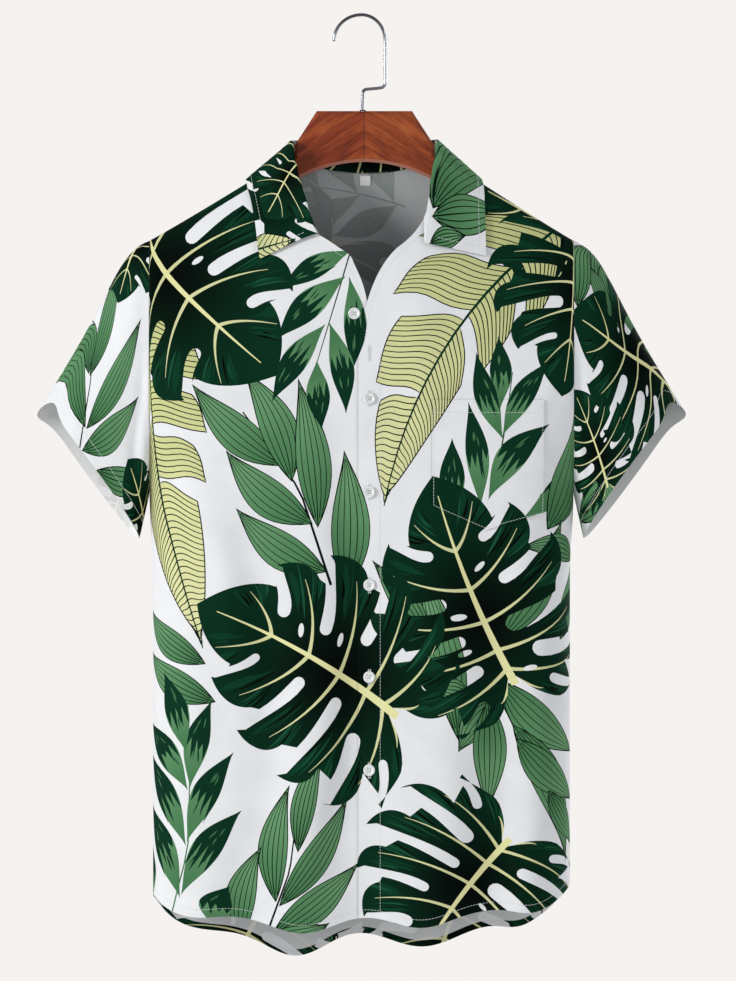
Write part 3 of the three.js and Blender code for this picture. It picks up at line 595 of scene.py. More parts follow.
def bezier(a, b, c, count):
    t = np.linspace(0, 1, count)[:, None]
    a, b, c = (np.asarray(p, float) for p in (a, b, c))
    return a * (1 - t) ** 2 + b * 2 * t * (1 - t) + c * t * t


def blade(width, fullest=0.42, sharp=0.9, count=14):
    """Half widths of a lance-shaped leaf in shares of its length."""
    along = np.linspace(0, 1, count)
    power = math.log(0.5) / math.log(fullest)
    return along, width / 2 * np.sin(np.pi * along ** power) ** sharp


def ring_of(along, half):
    return np.concatenate([stack(half, along), stack(-half, along)[::-1][1:-1]])


def leaflet(base, tip, wide, bow=0.0, lines=2):
    """A lance-shaped leaf with a dark outline, a midrib and fine lines beside it."""
    leaf = Leaf(base, tip, bow)
    along, half = blade(1.04 * wide / leaf.long, 0.43, 1.12, 16)
    inner = np.maximum(half - 0.9 / leaf.long, half * 0.15)
    shapes = [
        leaf.shape(ring_of(along, half), LINE),
        leaf.shape(ring_of(0.012 + along * 0.972, inner), LEAF, LEAF_LIGHT),
        leaf.midrib(1.1, 0.6, first=0.01, last=0.98, count=16),
    ]
    for k in range(1, lines + 1):
        for hand in (-1, 1):
            share = hand * k / (lines + 1)
            shapes.append(leaf.rib(stack(share * half, along)[1:-1], 0.9, 0.7))
    return shapes


# Brush strokes on a two-tone leaf: how many, their colour, where they start and how long they are
BRUSH_STROKES = ((3, LEAF_DARK, 0.26, 0.4, 0.2), (3, LEAF, 0.56, 0.68, 0.14))
BRUSH_WIDTHS = (0.15, 0.9, 1.25, 0.9, 0.15)
BRUSH_TEETH = 4
BRUSH_LIGHT_TO = 0.56


def brushed(base, tip, wide, bow=0.0, seed=0):
    """A two-tone leaf: a dark tip that runs down over a light base in brush strokes."""
    leaf = Leaf(base, tip, bow)
    chance = np.random.default_rng(seed)
    along, half = blade(0.85 * wide / leaf.long, 0.5, 1.3, 18)
    shapes = [leaf.shape(ring_of(along, half), LEAF_DARK)]
    low = along[along < BRUSH_LIGHT_TO]
    low_half = half[: len(low)]
    count = 2 * BRUSH_TEETH + 1
    saw_s = np.linspace(low_half[-1], -low_half[-1], count)
    dips = np.where(np.arange(count) % 2 == 1, -chance.uniform(0.1, 0.3, count), 0.0)
    saw_t = low[-1] + dips + chance.uniform(-0.02, 0.03, count)
    back_down = stack(-low_half, low)[::-1][:-1]
    ring = np.concatenate([stack(low_half, low), stack(saw_s, saw_t)[1:-1], back_down])
    shapes.append(leaf.shape(ring, LEAF, LEAF_LIGHT))
    for count, tone, first, last, long in BRUSH_STROKES:
        for _ in range(count):
            at = chance.uniform(-0.2, 0.2) * wide / leaf.long
            start = chance.uniform(first, last)
            rise = np.linspace(0, chance.uniform(0.6, 1) * long, len(BRUSH_WIDTHS))
            path = stack(at * np.linspace(1, 0.6, len(BRUSH_WIDTHS)), start + rise)
            shapes.append(leaf.streak(path, BRUSH_WIDTHS, tone))
    return shapes


RIB_SPACING = 6.8
BLOCK_WAVE = 0.014


def banana(base, tip, sides, bow=0.0, seed=0):
    """A long pale leaf with dark ribs, torn into blocks. sides: hand, half width, rib angle, blocks."""
    leaf = Leaf(base, tip, bow)
    chance = np.random.default_rng(seed)
    outlines, fills, ribs = [], [], []
    for hand, wide, angle, blocks in sides:
        most = wide / leaf.long
        climb = 1 / math.tan(math.radians(angle))

        def half_at(t):
            t = np.clip(t, 0, 1)
            start = np.clip((t + 0.05) / 0.2, 0, 1) ** 0.5
            return most * start * np.clip(1 - np.maximum(t - 0.3, 0) / 0.7, 0, 1) ** 0.75

        def rib(t0, t1, share, wave, count=9):
            """From the spine out to the rim. Share runs over the block, from its rounded corner on."""
            t, middle = t0 + (t1 - t0) * share, (t0 + t1) / 2
            full = 1 - 0.2 * (1 - share) ** 2.5 + 0.07 * share ** 6
            out = half_at(t)
            for _ in range(12):
                out = 0.5 * out + 0.5 * half_at(t + out * climb) * full
            end = np.array([hand * out, middle + (t - middle) * 0.86 + out * climb])
            bend = np.array([hand * out * 0.5, t + out * climb * 0.22])
            path = bezier((0, t), bend, end, count)
            path[:, 1] += wave * np.sin(np.linspace(0, 2 * np.pi, count)) * out / most
            return path

        for t0, t1 in blocks:
            wave = chance.uniform(-BLOCK_WAVE, BLOCK_WAVE)
            spine = stack(np.zeros(8), np.linspace(t0, t1, 8))
            rim = [rib(t0, t1, share, wave)[-1] for share in np.linspace(1, 0, 16)]
            first, last = (rib(t0, t1, share, wave)[1:-1] for share in (0.0, 1.0))
            ring = np.concatenate([spine, last, rim, first[::-1]])
            fills.append(leaf.shape(ring, BANANA_DARK, BANANA))
            outlines.append(leaf.outline(ring, 1.2, LINE))
            count = max(int((t1 - t0) * leaf.long / RIB_SPACING), 1)
            for share in np.linspace(0, 1, count + 2)[1:-1]:
                ribs.append(leaf.rib(rib(t0, t1, share, wave), 1.2, 0.95))
    return fills + ribs + outlines + [leaf.midrib(3.4, 1.2, LEAF_DARK)]


def frond(base, tip, pairs, long, wide, bow, angle, first, stem, kind=leaflet, seed=0):
    """Leaves in pairs along a stem, with one at its end."""
    leaf = Leaf(base, tip, bow)
    chance = np.random.default_rng(seed)
    shapes = [leaf.midrib(stem, stem * 0.5, count=16)]
    for k, t in enumerate(np.linspace(first, 0.9, pairs)):
        for hand in (-1, 1):
            at = t + 0.02 * hand
            foot = leaf.at(0.0, at)
            ahead = leaf.at(0.0, min(at + 0.02, 1.0)) - leaf.at(0.0, at - 0.02)
            turn = math.radians(angle + chance.uniform(-5, 5)) * -hand
            c, s = math.cos(turn), math.sin(turn)
            way = unit(np.array([c * ahead[0] - s * ahead[1], s * ahead[0] + c * ahead[1]]))
            size = long * (1 - 0.3 * abs(t - 0.45)) * chance.uniform(0.93, 1.07)
            bend = hand * chance.uniform(0.02, 0.07)
            broad = wide * chance.uniform(0.92, 1.05)
            own = [seed * 31 + k * 2 + hand] if kind is brushed else []
            shapes += kind(foot, foot + way * size, broad, bend, *own)
    end = leaf.at(0.0, 1.0) + leaf.way * long * 0.8
    return shapes + kind(leaf.at(0.0, 0.98), end, wide * 0.95, 0.02)


MONSTERA_EDGE = np.array([
    (0.02, -0.02), (0.08, -0.12), (0.2, -0.2), (0.36, -0.18), (0.48, -0.05), (0.54, 0.13), (0.54, 0.32),
    (0.49, 0.5), (0.4, 0.66), (0.28, 0.81), (0.14, 0.93), (0.0, 1.03),
])
# Slits: place round the edge, height of their inner end on the midrib, how deep, half width
MONSTERA_SLITS = [
    (0.28, -0.03, 0.48, 0.024),
    (0.42, 0.07, 0.7, 0.035),
    (0.55, 0.2, 0.74, 0.037),
    (0.68, 0.36, 0.68, 0.033),
    (0.81, 0.54, 0.54, 0.026),
]
MONSTERA_VEINS = [(0.17, -0.005), (0.35, 0.03), (0.485, 0.13), (0.615, 0.28), (0.745, 0.45), (0.88, 0.65)]
MONSTERA_HOLES = [(0.35, 0.01), (0.48, 0.17), (0.61, 0.32), (0.74, 0.5)]
HOLE_LONG, HOLE_WIDE = 0.036, 0.014
SLIT_WIDTHS = np.array([1.6, 1.05, 0.85, 0.78, 0.8, 0.87, 0.95, 1.0, 0.96])[:, None]
LOBE_STEPS = 14
# Brush strokes beside each vein: how far round the edge from it, and how wide they are along them
GLOW_SHIFTS = (-0.032, 0.034)
GLOW_WIDTHS = 0.034 * np.array([0.0, 0.3, 0.6, 0.9, 1.0, 0.7, 0.1])
STROKE_SHIFTS = (-0.046, -0.032, -0.018, 0.016, 0.029, 0.042)
STROKE_WIDTHS = np.array([0.1, 0.6, 1.0, 1.0, 0.8, 0.5, 0.1])
STROKE_SAG = (0.0, -0.018)
STROKE_TONES = (DEEP_LIGHT, DEEP_MIDDLE, DEEP_DARK)
STROKE_ODDS = (0.2, 0.5, 0.3)


def monstera(base, tip, wide=1.0, bow=0.0, seed=0, holes=3):
    """A dark split leaf with pale veins and brush strokes beside them."""
    leaf = Leaf(base, tip, bow)
    chance = np.random.default_rng(seed)
    fine = np.linspace(0, 1, len(MONSTERA_EDGE))
    edge_s, edge_t = curve(fine, MONSTERA_EDGE[:, 0]), curve(fine, MONSTERA_EDGE[:, 1])

    def edge(q):
        return np.array([float(edge_s(q)) * wide, float(edge_t(q))])

    def slit_line(q, t, deep):
        """From the mouth at the edge in to the inner end, curved as the veins are."""
        mouth = edge(q) * 1.02
        end = mouth + (np.array([0.0, t]) - mouth) * deep
        return bezier(mouth, (mouth + end) / 2 + (0.0, -0.05), end, len(SLIT_WIDTHS))

    def slit_ring(q, t, deep, gap):
        """Down one side of the slit, round its end and back up."""
        line = slit_line(q, t, deep)
        way = unit(np.gradient(line, axis=0))
        off = to_right(way)
        if off[0] @ (edge(min(q + 0.03, 1.0)) - edge(q)) > 0:
            off = -off
        lower, upper = line + off * gap * SLIT_WIDTHS, line - off * gap * SLIT_WIDTHS
        turns = np.linspace(0, np.pi, 7)[1:-1, None]
        ending = line[-1] + np.cos(turns) * (lower[-1] - line[-1]) + np.sin(turns) * way[-1] * gap
        return [*lower[1:], *ending, *upper[::-1][:-3]]

    def half_ring(hand):
        slits = []
        for q, t, deep, gap in MONSTERA_SLITS:
            q = q + chance.uniform(-0.012, 0.012)
            deep = deep * chance.uniform(0.85, 1.08)
            slits.append((q, t, deep, gap * chance.uniform(0.8, 1.25)))
        stops = [0.0] + [slit[0] for slit in slits] + [1.0]
        points = []
        for k, (q0, q1) in enumerate(zip(stops, stops[1:])):
            anchor = np.array([0.0, 0.2 + 0.35 * (q0 + q1) / 2])
            for u in np.linspace(0.07 if k else 0.0, 0.96 if k < len(slits) else 1.0, LOBE_STEPS):
                cut_back = 0.29 * (1 - u) ** 2.6 if k else 0.0
                points.append(anchor + (edge(q0 + (q1 - q0) * u) - anchor) * (1 - cut_back))
            if k < len(slits):
                points += slit_ring(*slits[k])
        return np.array(points) * (hand, 1.0)

    right, left = half_ring(1), half_ring(-1)
    loops = [leaf.at(*np.concatenate([right, left[::-1]]).T)]
    turns = np.linspace(0, 2 * np.pi, 13)[:-1, None]
    places = [(hand, q, t) for hand in (-1, 1) for q, t in MONSTERA_HOLES]
    for pick in chance.permutation(len(places))[:holes]:
        hand, q, t = places[pick]
        root = np.array([0.0, t])
        middle = root + (edge(q) - root) * chance.uniform(0.2, 0.28)
        way = unit(edge(q) - root)
        big = chance.uniform(0.8, 1.25)
        hole = middle + np.cos(turns) * way * HOLE_LONG * big
        hole = hole + np.sin(turns) * np.array([-way[1], way[0]]) * HOLE_WIDE * big
        loops.append(leaf.at(*(hole * (hand, 1.0)).T))
    body = Shape(loops, DEEP_DARK)
    body.ring_around(leaf.at(0.0, 0.3), leaf.long * 0.62, DEEP)
    shapes = [body]

    def stroke(hand, q, t, shift, start, end, widths, colour):
        root = np.array([0.0, t])
        way = edge(min(max(q + shift, 0.02), 0.98)) - root
        a, b = root + way * start, root + way * end
        path = bezier(a, (a + b) / 2 + STROKE_SAG, b, len(widths)) * (hand, 1.0)
        shapes.append(leaf.streak(path, widths * leaf.long, colour, body))

    for hand in (-1, 1):
        for q, t in MONSTERA_VEINS:
            for shift in GLOW_SHIFTS:
                stroke(hand, q, t, shift, 0.5, chance.uniform(0.88, 0.97), GLOW_WIDTHS, DEEP_MIDDLE)
            for shift in STROKE_SHIFTS:
                start, end = chance.uniform(0.36, 0.66), chance.uniform(0.82, 0.98)
                widths = STROKE_WIDTHS * chance.uniform(0.005, 0.013)
                tone = STROKE_TONES[chance.choice(len(STROKE_TONES), p=STROKE_ODDS)]
                stroke(hand, q, t, shift, start, end, widths, tone)
    for hand in (-1, 1):
        for q, t in MONSTERA_VEINS:
            root = np.array([0.0, t])
            way = edge(q) * (hand, 1.0) - root
            end = root + way * chance.uniform(0.76, 0.86) * (1.0 if q > 0.2 else 0.75)
            middle = root + way * 0.42 + (0.0, -0.06 if q > 0.3 else -0.03)
            shapes.append(leaf.rib(bezier(root, middle, end, 10), 0.019 * leaf.long, 0.45, VEIN_SOFT, body))
    shapes.append(leaf.midrib(0.04 * leaf.long, 0.9, VEIN, -0.055, 0.93))
    return shapes


# Cloth meshes
def inside(points, loop):
    x, y = points[:, 0], points[:, 1]
    hit = np.zeros(len(points), bool)
    following = np.roll(loop, -1, axis=0)
    for (x0, y0), (x1, y1) in zip(loop, following):
        if y0 == y1:
            continue
        crosses = (y0 > y) != (y1 > y)
        hit ^= crosses & (x < (x1 - x0) * (y - y0) / (y1 - y0) + x0)
    return hit


def hexes(low, high, step):
    rise = step * math.sqrt(3) / 2
    rows = np.arange(low[1] + rise / 2, high[1], rise)
    points = []
    for k, y in enumerate(rows):
        xs = np.arange(low[0] + (step / 2 if k % 2 else step), high[0], step)
        points.append(stack(xs, np.full(len(xs), y)))
    return np.concatenate(points)


def triangulate(outline, shapes, step, more=()):
    low, high = outline.min(0), outline.max(0)
    verts, edges = [], []
    loops = [outline, *more]
    for shape in shapes:
        for loop in shape.loops:
            if (loop.max(0) > low).all() and (loop.min(0) < high).all():
                loops.append(loop)
    count = 0
    for loop in loops:
        n = len(loop)
        verts.append(loop)
        edges += [(count + k, count + (k + 1) % n) for k in range(n)]
        count += n
    grid = hexes(low, high, step)
    verts.append(grid[inside(grid, outline)])
    verts = np.concatenate(verts)
    found = delaunay_2d_cdt([Vector(v) for v in verts], edges, [], 0, 1e-3, False)
    points = np.array([(v.x, v.y) for v in found[0]])
    faces = np.array(found[2])
    a, b, c = (points[faces[:, k]] for k in range(3))
    area = (b[:, 0] - a[:, 0]) * (c[:, 1] - a[:, 1]) - (b[:, 1] - a[:, 1]) * (c[:, 0] - a[:, 0])
    faces = np.where((area < 0)[:, None], faces[:, ::-1], faces)
    faces = faces[np.abs(area) > 1e-7]
    middle = points[faces].mean(1)
    faces = faces[inside(middle, outline)]
    used, faces = np.unique(faces, return_inverse=True)
    return points[used], faces.reshape(-1, 3)


def painted(points, faces, shapes):
    """The colour at each corner of each triangle."""
    middle = points[faces].mean(1)
    top = np.full(len(faces), -1)
    owner = np.full(len(faces), -1)
    places = {id(shape): k for k, shape in enumerate(shapes)}
    for k, shape in enumerate(shapes):
        low = np.min([loop.min(0) for loop in shape.loops], axis=0)
        high = np.max([loop.max(0) for loop in shape.loops], axis=0)
        near = np.flatnonzero((middle > low).all(1) & (middle < high).all(1))
        if not len(near):
            continue
        hit = np.zeros(len(near), bool)
        for loop in shape.loops:
            hit ^= inside(middle[near], loop)
        hit = near[hit]
        group = k if shape.host is None else places[id(shape.host)]
        if shape.host is not None:
            hit = hit[owner[hit] == group]
        top[hit] = k
        owner[hit] = group
    colours = np.empty((len(faces), 3, 3))
    colours[:] = GROUND
    for k in np.unique(top[top >= 0]):
        mine = top == k
        corners = points[faces[mine]].reshape(-1, 2)
        colours[mine] = shapes[k].paint(corners).reshape(-1, 3, 3)
    return colours


def linked(name, mesh):
    obj = bpy.data.objects.new(name, mesh)
    bpy.context.scene.collection.objects.link(obj)
    return obj


# The map for baking: outside and inside side by side, each with a margin
BAKE_HALF = 0.49
BAKE_MARGIN = 0.005
FLAT_MARGIN = 2
WEAVE_PER_MM = 0.01


def cloth_mesh(name, outline, shapes, surface, step, thickness, fade_and_light_share=0.78, fade_and_painted_light_to=FADED_AND_SHADED, turned=None):
    """A thin shell with the print outside and the print muted inside toward a set tone of painted shade and
    light, but for a turned-up strip.
    """
    points, faces = triangulate(outline, shapes, step, () if turned is None else (turned,))
    colours = painted(points, faces, shapes)
    outer, normals = surface(points)
    inner = outer - normals * thickness
    count = len(points)
    directed = np.concatenate([faces[:, [0, 1]], faces[:, [1, 2]], faces[:, [2, 0]]])
    _, first, many = np.unique(np.sort(directed, axis=1), axis=0, return_index=True, return_counts=True)
    first = first[many == 1]
    rim = directed[first]
    rim_paint = colours[np.tile(np.arange(len(faces)), 3)[first], np.repeat([0, 1, 2], len(faces))[first]]
    rim_paint = rim_paint * 0.5 + np.array(GROUND) * 0.5
    # outer faces look along their normals
    a, b, c = (outer[faces[:, k]] for k in range(3))
    flip = np.einsum("ij,ij->i", np.cross(b - a, c - a), normals[faces[:, 0]]).sum() < 0
    as_is, reverse = slice(None), slice(None, None, -1)
    out_order, in_order = (reverse, as_is) if flip else (as_is, reverse)
    share = np.full((len(faces), 1, 1), fade_and_light_share)
    if turned is not None:
        share[inside(points[faces].mean(1), turned)] = 0.0
    if callable(fade_and_painted_light_to):
        fade_and_painted_light_to = fade_and_painted_light_to(points[faces[:, in_order]])
    # Painted shade and light: the inside's colour is drawn toward a set tone that stands for how lit that
    # side is.
    inner_fade_and_light = colours[:, in_order] * (1 - share) + np.array(fade_and_painted_light_to) * share
    tris = np.concatenate([faces[:, out_order], faces[:, in_order] + count])
    quads = stack(rim[:, 0], rim[:, 1], rim[:, 1] + count, rim[:, 0] + count)
    if not flip:
        quads = quads[:, ::-1]
    corners = np.concatenate([tris.ravel(), quads.ravel()])
    n_tris, n_quads, n_tri_corners = len(tris), len(quads), tris.size
    mesh = bpy.data.meshes.new(name)
    mesh.vertices.add(2 * count)
    mesh.vertices.foreach_set("co", (np.concatenate([outer, inner]) * MM).ravel())
    mesh.loops.add(len(corners))
    mesh.loops.foreach_set("vertex_index", corners.astype(np.int32))
    starts = np.concatenate([np.arange(n_tris) * 3, n_tri_corners + np.arange(n_quads) * 4])
    mesh.polygons.add(n_tris + n_quads)
    mesh.polygons.foreach_set("loop_start", starts.astype(np.int32))
    mesh.update(calc_edges=True)
    mesh.polygons.foreach_set("use_smooth", np.ones(n_tris + n_quads, bool))
    paint = np.ones((len(corners), 4), np.float32)
    paint[:n_tri_corners, :3] = np.concatenate([colours[:, out_order], inner_fade_and_light]).reshape(-1, 3)
    paint[n_tri_corners:, :3] = np.repeat(rim_paint, 4, axis=0)
    attribute = mesh.color_attributes.new("paint", "FLOAT_COLOR", "CORNER")
    attribute.data.foreach_set("color", paint.ravel())
    flat = np.concatenate([points, points])[corners]
    low, high = points.min(0) - FLAT_MARGIN, points.max(0) + FLAT_MARGIN
    spread = np.array([BAKE_HALF, 1.0]) / (high - low)
    bake_uv = (flat - low) * spread + (BAKE_MARGIN, 0.0)
    is_inner = corners >= count
    bake_uv[:n_tri_corners, 0] += 0.5 * is_inner[:n_tri_corners]
    outward = to_right(unit(points[rim[:, 1]] - points[rim[:, 0]])) * thickness * spread
    bake_uv[n_tri_corners:] += np.repeat(outward, 4, axis=0) * is_inner[n_tri_corners:, None]
    for layer, values in (("OFBake", bake_uv), ("Weave", flat * WEAVE_PER_MM)):
        mesh.uv_layers.new(name=layer).data.foreach_set("uv", values.astype(np.float32).ravel())
    mesh.normals_split_custom_set(np.concatenate([normals, -normals])[corners].tolist())
    return linked(name, mesh)


# Outlines of the pieces
def along_edge(points, step=4.0):
    points = np.asarray(points, float)
    lengths = run_length(points)
    at = np.linspace(0, lengths[-1], max(int(lengths[-1] / step), 1) + 1)
    return stack(*(np.interp(at, lengths, points[:, k]) for k in range(2)))


def joined(*edges):
    return np.concatenate([along_edge(edge)[:-1] for edge in edges])


def closed(corners):
    return joined(*(straight(a, b) for a, b in zip(corners, corners[1:] + corners[:1])))


def hem_edge(side, x0, x1, up=0.0, count=160):
    xs = np.linspace(x0, x1, count)
    return stack(flat_u(xs), hem_z(side, xs) + up)


def neck_edge(table):
    xs = np.linspace(table[0][0], table[-1][0], 240)
    return stack(flat_u(xs), curve(*zip(*table))(xs))


def shoulder_edge(x0, x1):
    xs = np.linspace(x0, x1, 60)
    return stack(flat_u(xs), shoulder_z(xs))


def side_edge(side, x, down):
    ends = straight(flat_point(x, SHOULDER_Z), flat_point(x, hem_z(side, x)))
    return ends if down else ends[::-1]


def straight(a, b):
    return np.array([a, b], float)


LEFT_X = LEFT_FRONT_EDGE[0][0]
RIGHT_X = RIGHT_FRONT_EDGE[-1][0]
LEFT_OUTLINE = joined(
    neck_edge(LEFT_FRONT_EDGE),
    shoulder_edge(NECK_X + NECK_HALF, HALF_WIDTH),
    side_edge(FRONT, HALF_WIDTH, True),
    hem_edge(FRONT, HALF_WIDTH, LEFT_X),
    straight((LEFT_X, hem_z(FRONT, LEFT_X)), (LEFT_X, LEFT_FRONT_EDGE[0][1])),
)
RIGHT_OUTLINE = joined(
    neck_edge(RIGHT_FRONT_EDGE),
    straight((RIGHT_X, RIGHT_FRONT_EDGE[-1][1]), (RIGHT_X, hem_z(FRONT, RIGHT_X))),
    hem_edge(FRONT, RIGHT_X, -HALF_WIDTH),
    side_edge(FRONT, -HALF_WIDTH, False),
    shoulder_edge(-HALF_WIDTH, NECK_X - NECK_HALF),
)
NECK_XS = np.linspace(NECK_X - NECK_HALF, NECK_X + NECK_HALF, 80)
BACK_NECK_EDGE = stack(
    flat_u(NECK_XS),
    BACK_NECK[0] + BACK_NECK[1] * (np.abs(NECK_XS - NECK_X) / NECK_HALF) ** BACK_NECK[2],
)
BACK_OUTLINE = joined(
    BACK_NECK_EDGE,
    shoulder_edge(NECK_X + NECK_HALF, HALF_WIDTH),
    side_edge(BACK, HALF_WIDTH, True),
    hem_edge(BACK, HALF_WIDTH, -HALF_WIDTH),
    side_edge(BACK, -HALF_WIDTH, False),
    shoulder_edge(-HALF_WIDTH, NECK_X - NECK_HALF),
)
CAP = stack(SLEEVE_U, SLEEVE_LENGTH)
SLEEVE_OUTLINE = joined(
    straight((-HALF_SLEEVE, 0), (HALF_SLEEVE, 0)),
    straight((HALF_SLEEVE, 0), CAP[-1]),
    CAP[::-1],
    straight(CAP[0], (-HALF_SLEEVE, 0)),
)
HALF_COLLAR = COLLAR_FLAT_LENGTH / 2
COLLAR_OUTLINE = closed([
    (-HALF_COLLAR, 0), (HALF_COLLAR, 0), (HALF_COLLAR, COLLAR_FLAT_WIDTH), (-HALF_COLLAR, COLLAR_FLAT_WIDTH),
])
POCKET_CORNERS = [(70.5, -385), (181, -385), (181, -498.7), (123.8, -515), (70.5, -491.5)]
POCKET_OUTLINE = closed([flat_point(x, z) for x, z in POCKET_CORNERS])
LABEL_OUTLINE = closed([(-1.6, -158.5), (-1.6, -168.6), (8.9, -168.6), (8.9, -158.5)])
TURN_UP = 6.5
TURN_BELOW = -4
TURN_COUNT = 200
TURNED = np.concatenate([
    hem_edge(BACK, -HALF_WIDTH, HALF_WIDTH, TURN_UP, TURN_COUNT),
    hem_edge(BACK, -HALF_WIDTH, HALF_WIDTH, TURN_BELOW, TURN_COUNT)[::-1],
])

# Places for the print. The front's are given in the render's own pixels, of 1 mm.
PIXEL_X = 361.5
PIXEL_Z = 15.0
SLEEVE_SEEN = SLEEVE_GRID[SLEEVE_HALF_STEPS:]
OFF_SLEEVE = 4
HIDDEN_COLLAR = 40
COLLAR_US = np.linspace(-HALF_COLLAR, HALF_COLLAR, 161)
COLLAR_VS = np.linspace(0, COLLAR_FLAT_WIDTH * (1 - BEND_SHARE), 21)
COLLAR_GRID = stack(*np.meshgrid(COLLAR_US, COLLAR_VS, indexing="ij")).reshape(-1, 2)
COLLAR_SEEN = collar_surface(COLLAR_GRID)[0]


def front(px, py):
    """A place on the fronts."""
    return np.array(flat_point(px - PIXEL_X, PIXEL_Z - py))


def behind(x, z):
    """A place on the back, across and down in mm."""
    return np.array(flat_point(x, z))


def sleeve_place(hand, px, py):
    """A place on a sleeve's front half, or as far off its edge."""
    at = np.array([(px - PIXEL_X) * hand, PIXEL_Z - py])
    away = np.hypot(SLEEVE_SEEN[..., 0] - at[0], SLEEVE_SEEN[..., 2] - at[1])
    i, j = np.unravel_index(away.argmin(), away.shape)
    step = SLEEVE_HALF_STEPS + i
    nearest = np.array([SLEEVE_U[step], SLEEVE_LENGTH[step] * (1 - SLEEVE_ALONG[j])])
    if away[i, j] <= OFF_SLEEVE:
        return nearest
    miss = at - SLEEVE_SEEN[i, j, [0, 2]]
    return nearest - np.array([miss @ CUFF_ALONG, miss @ CUFF_OUT])


def right_sleeve(px, py):
    return sleeve_place(-1, px, py)


def left_sleeve(px, py):
    return sleeve_place(1, px, py)


def collar_place(px, py):
    """A place on the collar's fall in front."""
    away = np.hypot(COLLAR_SEEN[:, 0] - (px - PIXEL_X), COLLAR_SEEN[:, 2] - (PIXEL_Z - py))
    return COLLAR_GRID[(away + np.where(COLLAR_SEEN[:, 1] > 0, HIDDEN_COLLAR, 0)).argmin()]


def leaves(place, rows, reach=1.0):
    """Single leaflets: foot, tip, width and bow."""
    made = []
    for x0, y0, x1, y1, wide, bow in rows:
        foot, tip = place(x0, y0), place(x1, y1)
        made += leaflet(foot, foot + (tip - foot) * reach, wide, bow)
    return made


def brushes(place, rows, seed):
    made = []
    for k, (x0, y0, x1, y1, wide, bow) in enumerate(rows):
        made += brushed(place(x0, y0), place(x1, y1), wide, bow, seed + k)
    return made


def stem(place, points, wide, colour=LINE):
    path = np.array([place(*p) for p in points])
    leaf = Leaf(path[0], path[-1])
    local = path - leaf.base
    fine, known = np.linspace(0, 1, 12), np.linspace(0, 1, len(path))
    shares = (np.interp(fine, known, local @ way / leaf.long) for way in (leaf.side, leaf.way))
    return [leaf.rib(stack(*shares), wide, wide * 0.5, colour)]


